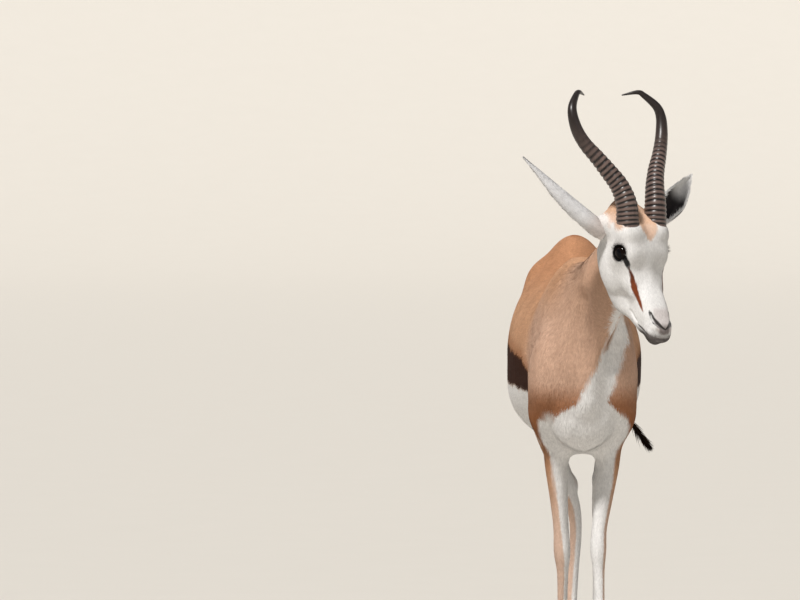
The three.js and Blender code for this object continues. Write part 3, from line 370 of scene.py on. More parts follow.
for s in SIDES:
    ell("detail", "eye_dish", on_eye(s, 28, 0, 0), [9.5, 19, 19], eye_axes(s), 7, -1)
    ell("detail", "eye_socket", on_eye(s, 16.5, 0, 0), [12, 14.0, 14.0], eye_axes(s), 2, -1)
    tube("detail", "upper_lid", lid(s, 34, 252, 14, 0, 18.7, 1.75), HF, 2.2)
    tube("detail", "lower_lid", lid(s, 240, 404, 12, 0.5, 18.3, 1.45), HF, 2.2)
    tube("detail", "lid_fold", lid(s, 75, 225, 10, 21, 21.8, 0.8), HF, 3, -1)
    tube("detail", "under_fold", lid(s, 275, 370, 8, 19, 21.8, 0.6), HF, 3, -1)
    tube("detail", "tear_gland", [HS(s*47.5, 17, 14, 1.6, 1.6), HS(s*47.5, 22, 13.5, 2.6, 2.6), HS(s*45, 28, 10.5, 2.2, 2.2), HS(s*43, 34, 7.5, 1.3, 1.3)], HF, 3, -1)
    tube("detail", "nostril", [HS(s*19, 116, 7, 1.2, 1.2), HS(s*20, 128, 7, 2.6, 2.6), HS(s*16.5, 139, 9.5, 3.3, 3.3), HS(s*10.5, 147, 11.5, 2.5, 2.5), HS(s*4.5, 152.5, 11, 1.1, 1.1)], HF, 2.5, -1)
    tube("detail", "mouth", [HS(0, 167, -3, 1.4, 1.4), HS(s*8, 166.5, -3.5, 1.4, 1.4), HS(s*15, 161, -6, 1.4, 1.4), HS(s*21, 150, -13, 1.4, 1.4), HS(s*23, 138, -21, 1.4, 1.4), HS(s*22, 127, -27, 1.1, 1.1)], HF, 2.6, -1)
    tube("detail", "cheek_fold", [HS(s*24, 118, -29, 0.8, 0.8), HS(s*24, 108, -32, 1.0, 1.0), HS(s*25, 98, -33, 0.7, 0.7)], HF, 5, -1)
    ell("detail", "lower_lip", H(s*9, 158, -12), [11, 8, 5], HAX, 6)
tube("detail", "furrow_right", [[-9, -398, 724, 14, 14], [-11, -390, 690, 19, 19], [-13, -387, 645, 21, 21], [-15, -389, 596, 21, 21], [-18, -378, 552, 17, 17], [-22, -368, 520, 10, 10]], [1, 0, 0], 26, -1)
tube("detail", "furrow_left", [[80, -392, 710, 12, 12], [72, -374, 676, 15, 15], [62, -370, 640, 18, 18], [50, -378, 596, 18, 18], [44, -372, 552, 15, 15], [42, -362, 522, 9, 9]], [1, 0, 0], 26, -1)
tube("detail", "lip_cleft", [HS(0, 154, 12.5, 0.8, 0.8), HS(0, 161, 7, 1.2, 1.2), HS(0, 167, -1, 1.0, 1.0)], HL, 2, -1)

# ---------------------------------------------------------------- places on the head
E0 = np.array(EYE, float)
AXES = np.array(HAX, float)
FORWARD = np.array([sind(YAW), -cosd(YAW), 0.0])
ACROSS = np.array(HL, float)

def head_place(P):
    q = P-E0
    return q@AXES[0], q@AXES[1], q@AXES[2]

def level(p):
    # A point given to the side, forward and up, head held level
    return E0+p[0]*ACROSS+p[1]*FORWARD+p[2]*np.array([0.0, 0, 1])

def unit(a):
    return a/np.maximum(np.linalg.norm(a, axis=-1, keepdims=True), 1e-9)

def ripple(P, size, seed):
    # Smooth noise between about -1 and 1, in waves of this size
    r = np.random.default_rng(seed)
    out = np.zeros(len(P))
    for i in range(7):
        k = unit(r.normal(size=3))*(2*math.pi/size)*r.uniform(0.6, 1.7)
        out += np.sin(P@k+r.uniform(0, 6.28))
    return out/3.2

# ---------------------------------------------------------------- markings
WHITE = (0.765, 0.75, 0.735)
FAWN = (0.51, 0.285, 0.165)
RUST = (0.27, 0.092, 0.030)
NECK_FAWN = (0.53, 0.34, 0.24)
BAND = (0.034, 0.0095, 0.003)
STRIPE = (0.20, 0.050, 0.018)
GREY = (0.40, 0.385, 0.38)
NOSE = (0.60, 0.545, 0.53)
BLACK = (0.012, 0.010, 0.009)
LID_BLACK = (0.004, 0.0035, 0.0035)
CROWN = (0.58, 0.36, 0.23)

def along(px, py, path):
    # Distance from a path of [x, y, half-width] in the plane, less the half-width there
    best = np.full(len(px), 1e3)
    for (x0, y0, w0), (x1, y1, w1) in zip(path[:-1], path[1:]):
        dx, dy = x1-x0, y1-y0
        t = np.clip(((px-x0)*dx+(py-y0)*dy)/(dx*dx+dy*dy), 0, 1)
        best = np.minimum(best, np.hypot(px-x0-t*dx, py-y0-t*dy)-(w0+t*(w1-w0)))
    return best

def along3(px, py, pz, path):
    # The same in space
    best = np.full(len(px), 1e3)
    for (x0, y0, z0, w0), (x1, y1, z1, w1) in zip(path[:-1], path[1:]):
        dx, dy, dz = x1-x0, y1-y0, z1-z0
        t = np.clip(((px-x0)*dx+(py-y0)*dy+(pz-z0)*dz)/(dx*dx+dy*dy+dz*dz), 0, 1)
        best = np.minimum(best, np.sqrt((px-x0-t*dx)**2+(py-y0-t*dy)**2+(pz-z0-t*dz)**2)-(w0+t*(w1-w0)))
    return best

def eye_ring(P, s):
    # Angle from the eye's axis and the turn round it, for points near that eye
    c = np.array(on_eye(s, 0, 0, 0)); n = unit(np.array(on_eye(s, 1, 0, 0))-c)
    a = unit(np.array(on_eye(s, 1, 90, 0))-c); b = unit(np.array(on_eye(s, 1, 90, 90))-c)
    q = P-c
    d = np.linalg.norm(q, axis=1)
    return d, np.degrees(np.arccos(np.clip(q@n/np.maximum(d, 1e-6), -1, 1))), q@a, q@b

def lid_gap(P, s):
    # How far each point lies outside the lids' line, seen along the eye's axis, and which points are near that eye
    d, ang, a, b = eye_ring(P, s)
    turn = np.degrees(np.arctan2(b, a))
    lim = np.array([lid_angle(t) for t in turn])
    return np.hypot(a, b)-LID*np.sin(np.radians(lim)), (d < 36)&(ang < 89)

def paint(P, N):
    X, Y, Z = P[:, 0], P[:, 1], P[:, 2]
    l, f, u = head_place(P)
    w1, w2, w3 = ripple(P, 55, 1), ripple(P, 16, 2), ripple(P, 130, 3)
    C = np.tile(np.array(FAWN), (len(P), 1))*(1+0.07*w3[:, None]+0.04*w2[:, None])
    def put(colour, m):
        nonlocal C
        m = np.clip(m, 0, 1)[:, None]
        C = C*(1-m)+np.array(colour)*m
    side = np.where(X > -2, 1.0, -1.0)
    out = side*N[:, 0]
    # back a little deeper, flanks paler
    put((0.445, 0.205, 0.10), 0.7*smooth(Z, 690, 780)*smooth(Y, -260, -120))
    put((0.58, 0.38, 0.28), 0.85*smooth(Y, -120, -220)*smooth(Z, 500, 590)*smooth(Z, 770, 680))
    # neck
    neck = smooth(-Y+0.25*(Z-700), 290, 350)*smooth(Z, 560, 620)
    put(NECK_FAWN, 0.8*neck)
    # foot of the chest, before the white
    chest = smooth(Y, -205, -245)*smooth(Z, 590, 535)*smooth(Z, 420, 520)
    put(RUST, 0.75*chest)
    # flank band
    zc = np.interp(Y, [-215, -160, -100, 0, 100, 200, 240], [572, 582, 592, 601, 612, 630, 640])+2*w1
    hw = np.interp(Y, [-208, -185, -130, 0, 110, 185, 226], [4, 20, 30, 34, 34, 26, 4])
    below = Z-zc
    on_side = smooth(np.abs(X+2), 52, 66)
    inside = smooth(Y, -212, -196)*smooth(Y, 240, 218)
    # belly
    belly = smooth(below, -hw+6, -hw-6+3*w2)*smooth(Y+0.45*np.maximum(Z-540, 0)-0.35*np.maximum(530-Z, 0)+3*w1, -222, -196)*smooth(Y-np.interp(Z, [450, 530, 640], [38, -8, 28])+3*w1, 226, 204)
    belly = np.maximum(belly, smooth(N[:, 2], -0.55, -0.8)*smooth(Z, 560, 520)*smooth(Y, -300, -270)*smooth(Y, 300, 270))
    belly = belly*np.maximum(smooth(Z, 440, 462), smooth(np.abs(Y+205), 56, 66)*(Y < 150))*smooth(Z+0.55*(Y-150), 425, 462)**(Y > 150)
    # legs: white inside, fawn outside and in front
    leg = smooth(Z, 532, 508)
    fore = Y < 60
    cut = np.where(fore, np.interp(Z, [60, 230, 300, 420, 515], [-0.35, -0.25, 0.05, 0.42, 0.55]), np.interp(Z, [60, 250, 330, 480, 540], [-0.35, -0.3, -0.1, 0.0, 0.0]))
    legx = np.where(fore, X, X+np.where(side < 0, np.interp(Z, [40, 344, 468], [10, 10, 0]), 0))
    out_leg = np.where(fore, side, np.where((X > 20)|((X > -2)&(Y > 360)), 1.0, -1.0))*N[:, 0]
    inner = smooth(out_leg, cut+0.16, cut-0.16+0.05*w2)
    put(WHITE, leg*inner)
    low = smooth(Z, 430, 300)*leg
    put((0.64, 0.47, 0.375), 0.85*low*(1-inner))
    put(RUST, 0.55*leg*(1-inner)*smooth(Z, 400, 480)*fore)
    # inner thighs
    thigh = smooth(Z, 660, 620)*smooth(Y, 200, 240)*smooth(out_leg, 0.15, -0.15)*smooth(np.abs(X+2), 95, 60)
    put(WHITE, thigh*(~fore))
    put(WHITE, belly)
    put(BAND, on_side*inside*smooth(np.abs(below)+1.5*w2, hw+3, hw-4))
    put(RUST, 0.5*on_side*inside*smooth(below, hw+26, hw+2)*smooth(below, hw-6, hw))
    # breast
    xc = np.interp(Z, [470, 500, 522, 545, 593, 662, 740, 800], [6, 10, 11, 17, 38, 62, 78, 92])
    ww = np.interp(Z, [470, 500, 520, 534, 546, 593, 662, 740], [80, 74, 60, 42, 27, 24, 17, 17])
    up = np.maximum(Z-600, 0)
    front = smooth(-N[:, 1], 0.20, 0.48)*smooth(Y+0.9*up, -235, -262)
    front = np.maximum(front, smooth(-N[:, 1], 0.0, 0.25)*smooth(Y, -235, -262)*smooth(Z, 560, 520))
    put(WHITE, front*smooth(np.abs(X-xc)+2.5*w2, ww+5, ww-5)*smooth(Z, 440, 470)*smooth(Z, 800, 770))
    put(WHITE, smooth(Y, -225, -250)*smooth(Z+5*w1+2*w2, 520, 508)*smooth(out, 0.80, 0.62))
    # rump
    rw = np.interp(Z, [540, 600, 650, 700, 735, 760], [50, 58, 66, 58, 42, 22])
    edge = rw-np.abs(X+3-0.1*(700-Z))+3*w2
    behind = smooth(Y, 318, 350)*smooth(N[:, 1]+0.25*N[:, 2], 0.02, 0.22)*smooth(Z, 468, 540)
    put(RUST, 0.85*behind*smooth(edge, -13, -4))
    put(WHITE, behind*smooth(edge, -2, 3))
    fold = smooth(np.abs(X+3)+1.2*w2, np.interp(Y, [190, 300, 395], [2, 7, 13]), np.interp(Y, [190, 300, 395], [0.2, 4, 9]))*smooth(Y, 236, 266)*smooth(N[:, 2], 0.2, 0.5)
    put(RUST, 0.8*smooth(np.abs(X+3), np.interp(Y, [190, 395], [9, 26]), np.interp(Y, [190, 395], [3, 14]))*smooth(Y, 180, 230)*smooth(Y, 368, 340)*smooth(N[:, 2], 0.2, 0.5))
    put(WHITE, fold)
    # head
    on_head = smooth(-Y, 385, 400)*smooth(Z, 600, 630)
    jaw = np.interp(f, [-60, -44, 15, 53, 84, 101, 170], [-50, -57, -72, -84, -70, -56, -30])
    on_head = on_head*smooth(u-jaw+2*w2, -16, -6)
    face = on_head*smooth(f+4*w2+0.10*(u+30), -56, -44)*(1-smooth(u-0.5*np.maximum(np.abs(l)-30, 0), -2, 8)*smooth(f+3*w2, -30, -40))
    put(CROWN, 0.7*on_head*smooth(f, -30, -50)*smooth(u, -40, -10)*smooth(f, -110, -80))
    put((0.70, 0.53, 0.43), 0.55*on_head*smooth(np.abs(l), 34, 44)*smooth(f, -84, -66)*smooth(f, -20, -34))
    put(WHITE, 0.85*smooth(-Y, 385, 400)*smooth(np.abs(l), 44, 52)*smooth(np.hypot(f+66, u+24), 34, 22))
    put(WHITE, face)
    spread = np.interp(f, [-60, -34, -20, -10, -4], [22, 19, 15, 8, 0])
    put((0.70, 0.47, 0.33), 0.85*on_head*smooth(np.abs(l)+1.5*w2, spread+3, spread-3)*smooth(f, -3, -8)*smooth(u, 5, 12))
    put(GREY, 0.40*face*smooth(f, 118, 150)*smooth(w2, -0.8, 0.6))
    lip_u = np.interp(f, [120, 127, 138, 150, 161, 167], [-29, -27, -21, -13, -6, -3])
    # dark lips and chin below the lip line: partly the lips' own dark colour, partly painted shade under the muzzle
    put((0.050, 0.040, 0.034), 0.90*face*smooth(f, 122, 144)*smooth(u-lip_u+w2, 0, -5))
    put((0.27, 0.20, 0.17), 0.75*face*smooth(along3(np.abs(l), f, u, [[46, -14, 17, 1.2], [42, -24, 24, 1.8], [40, -31, 28, 1.0]])+1.2*w2, 2.4, -0.6))
    put(GREY, 0.30*face*smooth(np.hypot(f+12, (u-14)*1.2), 20, 8)*smooth(np.abs(l), 26, 34))
    put(GREY, 0.22*face*smooth(u, -52, -66)*smooth(f, 20, 60))
    line = along3(np.abs(l), f, u, [[42, 33, 8, 1.2], [39.2, 40, 6.5, 3.2], [36.4, 52.5, 3, 4.6], [34, 70, -0.5, 5.4], [31, 88, -3.5, 4.8], [29.5, 101, -4, 3.2], [28.5, 113, -3, 0.8]])
    put(STRIPE, on_head*smooth(line+0.7*w2, 1.0, -1.0))
    put((0.055, 0.020, 0.012), 0.75*on_head*smooth(line+0.7*w2, 1.0, -1.0)*smooth(f, 68, 42))
    # nose
    pad = smooth(f, 108, 118)*smooth(u, 2.5, 6)*smooth(np.abs(l), 19, 15)*on_head
    put(NOSE, 0.85*pad)
    put((0.12, 0.095, 0.09), 0.8*on_head*smooth(f, 140, 152)*smooth(u, 1, 6)*smooth(np.abs(l), 15, 9))
    for s in SIDES:
        near = on_head*(s*l > 0)
        slit = along(f, u, [[117, 7, 0.6], [128, 7.5, 1.6], [139, 9.5, 2.4], [147, 11.5, 1.9], [152, 11.5, 0.8]])
        put(BLACK, 0.92*near*smooth(slit, 1.8, -0.2)*smooth(np.abs(np.abs(l)-np.interp(f, [117, 128, 139, 147, 152], [19, 20, 16.5, 10.5, 4.5])), 6.5, 4.0))
        lip = along(f, u, [[127, -27, 0.5], [138, -21, 0.8], [150, -13, 1.2], [161, -6, 1.6], [167, -3, 1.8]])
        put((0.05, 0.04, 0.038), 0.85*near*smooth(lip, 2.6, 0.2)*smooth(f, 122, 130))
        put((0.16, 0.14, 0.135), 0.55*near*smooth(lip, 8, 2)*smooth(f, 140, 160))
        # lids and tear gland
        over, ring = lid_gap(P, s)
        put((0.28, 0.25, 0.24), 0.45*ring*smooth(over+1.2*w2, 6.5, 2.0))
        put(LID_BLACK, ring*smooth(over+0.4*w2, 2.4, 1.2))
        tear = along3(s*l, f, u, [[46.5, 12, 14, 4.0], [47.5, 21, 13, 5.6], [45.5, 29, 10.5, 5.2], [43.5, 36, 8, 4.0], [42, 42, 6.5, 1.8]])
        put(LID_BLACK, 0.97*near*smooth(tear+0.6*w2, 1.2, -1.0))
    # tail
    tail = tail_mask(P)
    put(WHITE, tail)
    put((0.030, 0.018, 0.012), smooth(X+0.4*(500-Z), 92, 104)*smooth(Y, 400, 415)*(X > 74))
    # dewclaws and feet
    for x0, y0, z0 in [[31, -261, 83], [-35, -171, 83], [-11, 312, 85], [47, 469, 85]]:
        for c in (-9, 9):
            put(BLACK, 0.9*smooth(np.sqrt((X-x0-c)**2+(Y-y0-1)**2+((Z-z0)/1.3)**2), 9.6, 7.6)*smooth(Y, y0-4, y0-1))
    put((0.30, 0.20, 0.15), 0.5*smooth(Z, 60, 44))
    return np.clip(C, 0.004, 0.9)

def tail_mask(P):
    best = np.full(len(P), 1e3)
    T = np.array(TAIL, float)
    for a, b in zip(T[1:-1], T[2:]):
        d = b[:3]-a[:3]
        t = np.clip(((P-a[:3])@d)/(d@d), 0, 1)
        best = np.minimum(best, np.linalg.norm(P-a[:3]-t[:, None]*d, axis=1)-(a[3]+t*(b[3]-a[3])))
    return smooth(best, 5, 1)*(P[:, 1] > 405)

# ---------------------------------------------------------------- meshes
def place(P):
    return ((P+SHIFT)/1000).astype(np.float32)

def make_mesh(name, V, faces, smooth_on=True, colours=None, material=None):
    me = bpy.data.meshes.new(name)
    F3 = [np.asarray(a, np.int32) for a in (faces if isinstance(faces, (list, tuple)) else [faces]) if len(a)]
    loops = np.concatenate([a.ravel() for a in F3])
    total = np.concatenate([np.full(len(a), a.shape[1], np.int32) for a in F3])
    me.vertices.add(len(V)); me.vertices.foreach_set("co", place(V).ravel())
    me.loops.add(len(loops)); me.loops.foreach_set("vertex_index", loops)
    me.polygons.add(len(total))
    me.polygons.foreach_set("loop_start", np.concatenate([[0], np.cumsum(total)[:-1]]).astype(np.int32))
    me.polygons.foreach_set("loop_total", total)
    me.polygons.foreach_set("use_smooth", np.full(len(total), smooth_on))
    me.update(calc_edges=True)
    if colours is not None:
        at = me.color_attributes.new("Col", "FLOAT_COLOR", "POINT")
        at.data.foreach_set("color", np.concatenate([colours, np.ones((len(colours), 1))], 1).astype(np.float32).ravel())
    if material: me.materials.append(material)
    ob = bpy.data.objects.new(name, me)
    bpy.context.collection.objects.link(ob)
    return ob

def tube_faces(rings, around, caps=True, first=0):
    i = np.arange(rings-1)[:, None]*around
    j = np.arange(around)[None, :]
    k = (j+1)%around
    Q = np.stack([i+j, i+k, i+around+k, i+around+j], -1).reshape(-1, 4)+first
    return Q

# ---------------------------------------------------------------- materials
def new_material(name, roughness, specular=0.5):
    m = bpy.data.materials.new(name)
    m.use_nodes = True
    b = m.node_tree.nodes["Principled BSDF"]
    b.inputs["Roughness"].default_value = roughness
    b.inputs["Specular IOR Level"].default_value = specular
    return m, m.node_tree, b

def noise_node(t, scale, detail=3.0, stretch=None, seed=0.0):
    tc = t.nodes.new("ShaderNodeTexCoord")
    mp = t.nodes.new("ShaderNodeMapping")
    mp.inputs["Location"].default_value = (seed, seed*0.7, seed*1.3)
    if stretch: mp.inputs["Scale"].default_value = stretch
    n = t.nodes.new("ShaderNodeTexNoise")
    n.inputs["Scale"].default_value = scale
    n.inputs["Detail"].default_value = detail
    t.links.new(tc.outputs["Object"], mp.inputs["Vector"])
    t.links.new(mp.outputs["Vector"], n.inputs["Vector"])
    return n

def ramp_node(t, src, a, b):
    r = t.nodes.new("ShaderNodeMapRange")
    r.inputs["From Min"].default_value = 0.3
    r.inputs["From Max"].default_value = 0.7
    r.inputs["To Min"].default_value = a
    r.inputs["To Max"].default_value = b
    t.links.new(src, r.inputs["Value"])
    return r.outputs["Result"]

def tinted(t, colour, factor):
    # colour times a factor socket
    mx = t.nodes.new("ShaderNodeVectorMath")
    mx.operation = "SCALE"
    t.links.new(colour, mx.inputs[0])
    t.links.new(factor, mx.inputs["Scale"])
    return mx.outputs["Vector"]

def bump_node(t, b, height, strength, distance):
    n = t.nodes.new("ShaderNodeBump")
    n.inputs["Strength"].default_value = strength
    n.inputs["Distance"].default_value = distance
    t.links.new(height, n.inputs["Height"])
    t.links.new(n.outputs["Normal"], b.inputs["Normal"])

def painted_material(name, roughness, spec, scale, low, high, bump, distance, stretch=None):
    m, t, b = new_material(name, roughness, spec)
    at = t.nodes.new("ShaderNodeVertexColor")
    at.layer_name = "Col"
    n = noise_node(t, scale, 4.0, stretch)
    t.links.new(tinted(t, at.outputs["Color"], ramp_node(t, n.outputs["Fac"], low, high)), b.inputs["Base Color"])
    if bump: bump_node(t, b, n.outputs["Fac"], bump, distance)
    return m, t, b

skin_mat, _, b = painted_material("skin", 0.85, 0.12, 420, 0.86, 1.06, 0.45, 0.0012, (1, 1, 0.35))
coat_mat, _, b = painted_material("coat", 0.75, 0.10, 160, 0.92, 1.08, 0, 0)
horn_mat, _, b = painted_material("horn", 0.34, 0.42, 90, 0.72, 1.2, 0.35, 0.0010, (1, 1, 0.12))
hoof_mat, _, b = painted_material("hoof", 0.42, 0.5, 160, 0.75, 1.2, 0.3, 0.0006, (1, 1, 0.3))
eye_mat, _, b = painted_material("eye", 0.06, 0.11, 60, 0.85, 1.1, 0, 0)

# ---------------------------------------------------------------- skin
def settle(V, times, limit, e):
    for _ in range(times):
        d = field_points(V)
        V = V-gradient(V, e)*np.clip(d, -limit, limit)[:, None]
    return V

LO, HI = [-178, -655, 12], [218, 545, 915]
F = field_grid(LO, HI, SKIN_STEP)
V, Q = surface_nets(F, LO, SKIN_STEP)
del F
V = settle(V, 1, 2.0, 0.8)

def near_eye(P, r):
    return np.minimum(np.linalg.norm(P-np.array(H(48, 6, 3)), axis=1), np.linalg.norm(P-np.array(H(-48, 6, 3)), axis=1)) < r

def refine(V, Q, where, again):
    bm = bmesh.new()
    me = bpy.data.meshes.new("work")
    me.from_pydata(V.tolist(), [], Q.tolist())
    bm.from_mesh(me)
    bpy.data.meshes.remove(me)
    for test in (where, again):
        bm.verts.ensure_lookup_table()
        P = np.array([v.co[:] for v in bm.verts])
        ok = test(P)
        for i, v in enumerate(bm.verts): v.tag = bool(ok[i])
        bmesh.ops.subdivide_edges(bm, edges=[e for e in bm.edges if e.verts[0].tag and e.verts[1].tag], cuts=1, use_grid_fill=True)
        bm.verts.ensure_lookup_table()
        P = np.array([v.co[:] for v in bm.verts])
        move = test(P)
        P[move] = settle(P[move], 2, 1.6, 0.5)
        for i in np.nonzero(move)[0]: bm.verts[i].co = P[i]
    bmesh.ops.triangulate(bm, faces=[f for f in bm.faces if len(f.verts) > 4])
    bm.verts.index_update()
    P = np.array([v.co[:] for v in bm.verts])
    q = np.array([[v.index for v in f.verts] for f in bm.faces if len(f.verts) == 4])
    t = np.array([[v.index for v in f.verts] for f in bm.faces if len(f.verts) == 3]).reshape(-1, 3)
    bm.free()
    return P, q, t

def head_zone(P):
    l, f, u = head_place(P)
    return (f > -70)&(P[:, 1] < -400)&(u > -100)

def fine_zone(P):
    l, f, u = head_place(P)
    return near_eye(P, 31)|((f > 106)&(P[:, 1] < -430))

V, Q4, Q3 = refine(V, Q, head_zone, fine_zone)
SKIN_N = gradient(V, 0.8)
skin_colour = paint(V, SKIN_N)

# Ears: a leaf folded to a cup, its wall thin towards the tip
EAR_OPEN = {-1: unit(np.array([-0.66, 0.22, -0.70])), 1: unit(np.array([0.52, -0.69, 0.45]))}
def ear_rings(table, s, count=44, around=26):
    S = catmull([list(level([s*p[0], p[1], p[2]]))+[p[3]] for p in table], 8)
    S = S[np.linspace(0, len(S)-1, count).round().astype(int)]
    C, half = S[:, :3], S[:, 3]
    T = unit(np.gradient(C, axis=0))
    open_ = unit(EAR_OPEN[s][None]-T*(T@EAR_OPEN[s])[:, None])
    wide = np.cross(T, open_)
    g = np.linspace(-1, 1, around)
    run = np.linspace(0, 1, count)
    reach = np.interp(run, [0, 0.25, 0.6, 1], [2.35, 1.95, 1.6, 1.35])
    hw = np.maximum(half-1.5, 0.7)
    deep = hw*np.interp(run, [0, 0.3, 0.7, 1], [1.0, 0.95, 0.8, 0.5])
    wall = np.interp(run, [0, 0.4, 1], [2.6, 1.8, 0.9])
    wall = np.minimum(wall, hw*0.45)
    out, inn = [], []
    for i in range(count):
        a = g*reach[i]
        out.append(C[i]+wide[i]*(np.sin(a)*hw[i])[:, None]+open_[i]*((0.45-np.cos(a))*deep[i])[:, None])
        a = g[::-1]*reach[i]*0.97
        inn.append(C[i]+wide[i]*(np.sin(a)*(hw[i]-wall[i]))[:, None]+open_[i]*((0.45-np.cos(a))*(deep[i]-wall[i]*0.2)+wall[i])[:, None])
    R = np.concatenate([np.array(out), np.array(inn)], 1)
    return R, run, open_, T

def ear_colours(R, run, s):
    count, m = R.shape[0], R.shape[1]
    half = m//2
    col = np.zeros((count, m, 3))
    outer = np.array([0.76, 0.75, 0.75]); pale = np.array(WHITE); dark = np.array([0.035, 0.030, 0.030])
    for i, t in enumerate(run):
        base = float(smooth(np.array([t]), 0.30, 0.12)[0])
        for j in range(m):
            e = abs((j%half)/(half-1)*2-1)
            if j < half:
                c = outer*(1-0.10*t)
                c = c*(1-0.25*base)+np.array(CROWN)*0.25*base
                # painted shade: a dark strip along the lower edge of the ear's outer face, strong on that edge and weak
                # on the other
                rim_shade = float(smooth(np.array([e]), 0.80, 1.0)[0])*float(smooth(np.array([t]), 0.2, 0.45)[0])
                rim_shade *= 1.0 if (j/(half-1) < 0.5) == (s < 0) else 0.25
                c = c*(1-rim_shade)+dark*1.6*rim_shade
            else:
                # inside the cup: pale hair, darkening deep in the cup towards the base, partly dark skin and partly
                # painted shade
                cup_dark_and_shade = float(smooth(np.array([e]), 0.97, 0.72)[0])*float(smooth(np.array([t]), 0.72, 0.56)[0])
                c = pale*0.9*(1-cup_dark_and_shade)+dark*cup_dark_and_shade
            col[i, j] = c
    return col

ears = {}
verts, quads, cols = [V], [Q4], [skin_colour]
first = len(V)
for s, table in ((-1, EAR_RIGHT), (1, EAR_LEFT)):
    R, run, open_, T = ear_rings(table, s)
    col = ear_colours(R, run, s)
    ears[s] = (R, run, open_, T, col)
    n, m = R.shape[0], R.shape[1]
    verts.append(R.reshape(-1, 3)); cols.append(col.reshape(-1, 3))
    q = tube_faces(n, m, first=first)
    quads.append(q)
    tip = first+(n-1)*m; root = first
    for j in range(m//2-1):
        quads.append(np.array([[tip+j, tip+j+1, tip+m-2-j, tip+m-1-j]]))
        quads.append(np.array([[root+m-1-j, root+m-2-j, root+j+1, root+j]]))
    first += n*m
allV = np.concatenate(verts)
skin = make_mesh("skin", allV, [np.concatenate(quads), Q3], True, np.concatenate(cols), skin_mat)

# ---------------------------------------------------------------- eyes
def eyeball(s):
    c = np.array(on_eye(s, 0, 0, 0)); n = unit(np.array(on_eye(s, 1, 0, 0))-c)
    a = unit(np.array(on_eye(s, 1, 90, 0))-c); b = unit(np.array(on_eye(s, 1, 90, 90))-c)
    rings, around = 40, 64
    P, C = [c+n*EYE_GLOBE*1.035], []
    for i in range(1, rings):
        t = math.pi*i/rings
        k = EYE_GLOBE*(1+0.035*math.exp(-(t/0.55)**2))
        g = np.arange(around)/around*2*math.pi
        P += list(c+k*(n*math.cos(t)+math.sin(t)*(np.cos(g)[:, None]*a+np.sin(g)[:, None]*b)))
    P.append(c-n*EYE_GLOBE)
    P = np.array(P)
    Q = tube_faces(rings-1, around, first=1)
    g = np.arange(around)
    caps = np.concatenate([np.stack([np.zeros(around, int), 1+(g+1)%around, 1+g], 1), np.stack([np.full(around, len(P)-1), len(P)-1-around+g, len(P)-1-around+(g+1)%around], 1)])
    q = unit(P-c)
    x, y = q@a, q@b
    iris = np.array([0.006, 0.003, 0.002]); col = np.tile(iris, (len(P), 1))
    r = np.hypot(x, y)
    pupil = smooth(np.hypot(x/0.52, y/0.24), 1.08, 0.92)[:, None]
    white = smooth(r, 0.70, 0.78)[:, None]
    col = col*(1-pupil)+np.array([0.002, 0.002, 0.003])*pupil
    col = col*(1-white)+np.array([0.008, 0.005, 0.004])*white
    side = "right" if s < 0 else "left"
    ob = make_mesh("eyeball_"+side, P, [Q, caps], True, col, eye_mat)
    return fix_outward(ob)

def fix_outward(ob):
    bm = bmesh.new(); bm.from_mesh(ob.data)
    bmesh.ops.recalc_face_normals(bm, faces=bm.faces)
    if bm.calc_volume(signed=True) < 0: bmesh.ops.reverse_faces(bm, faces=bm.faces)
    bm.to_mesh(ob.data); bm.free()
    return ob

made = {}
for s in SIDES:
    made["eye_"+("right" if s < 0 else "left")] = eyeball(s)

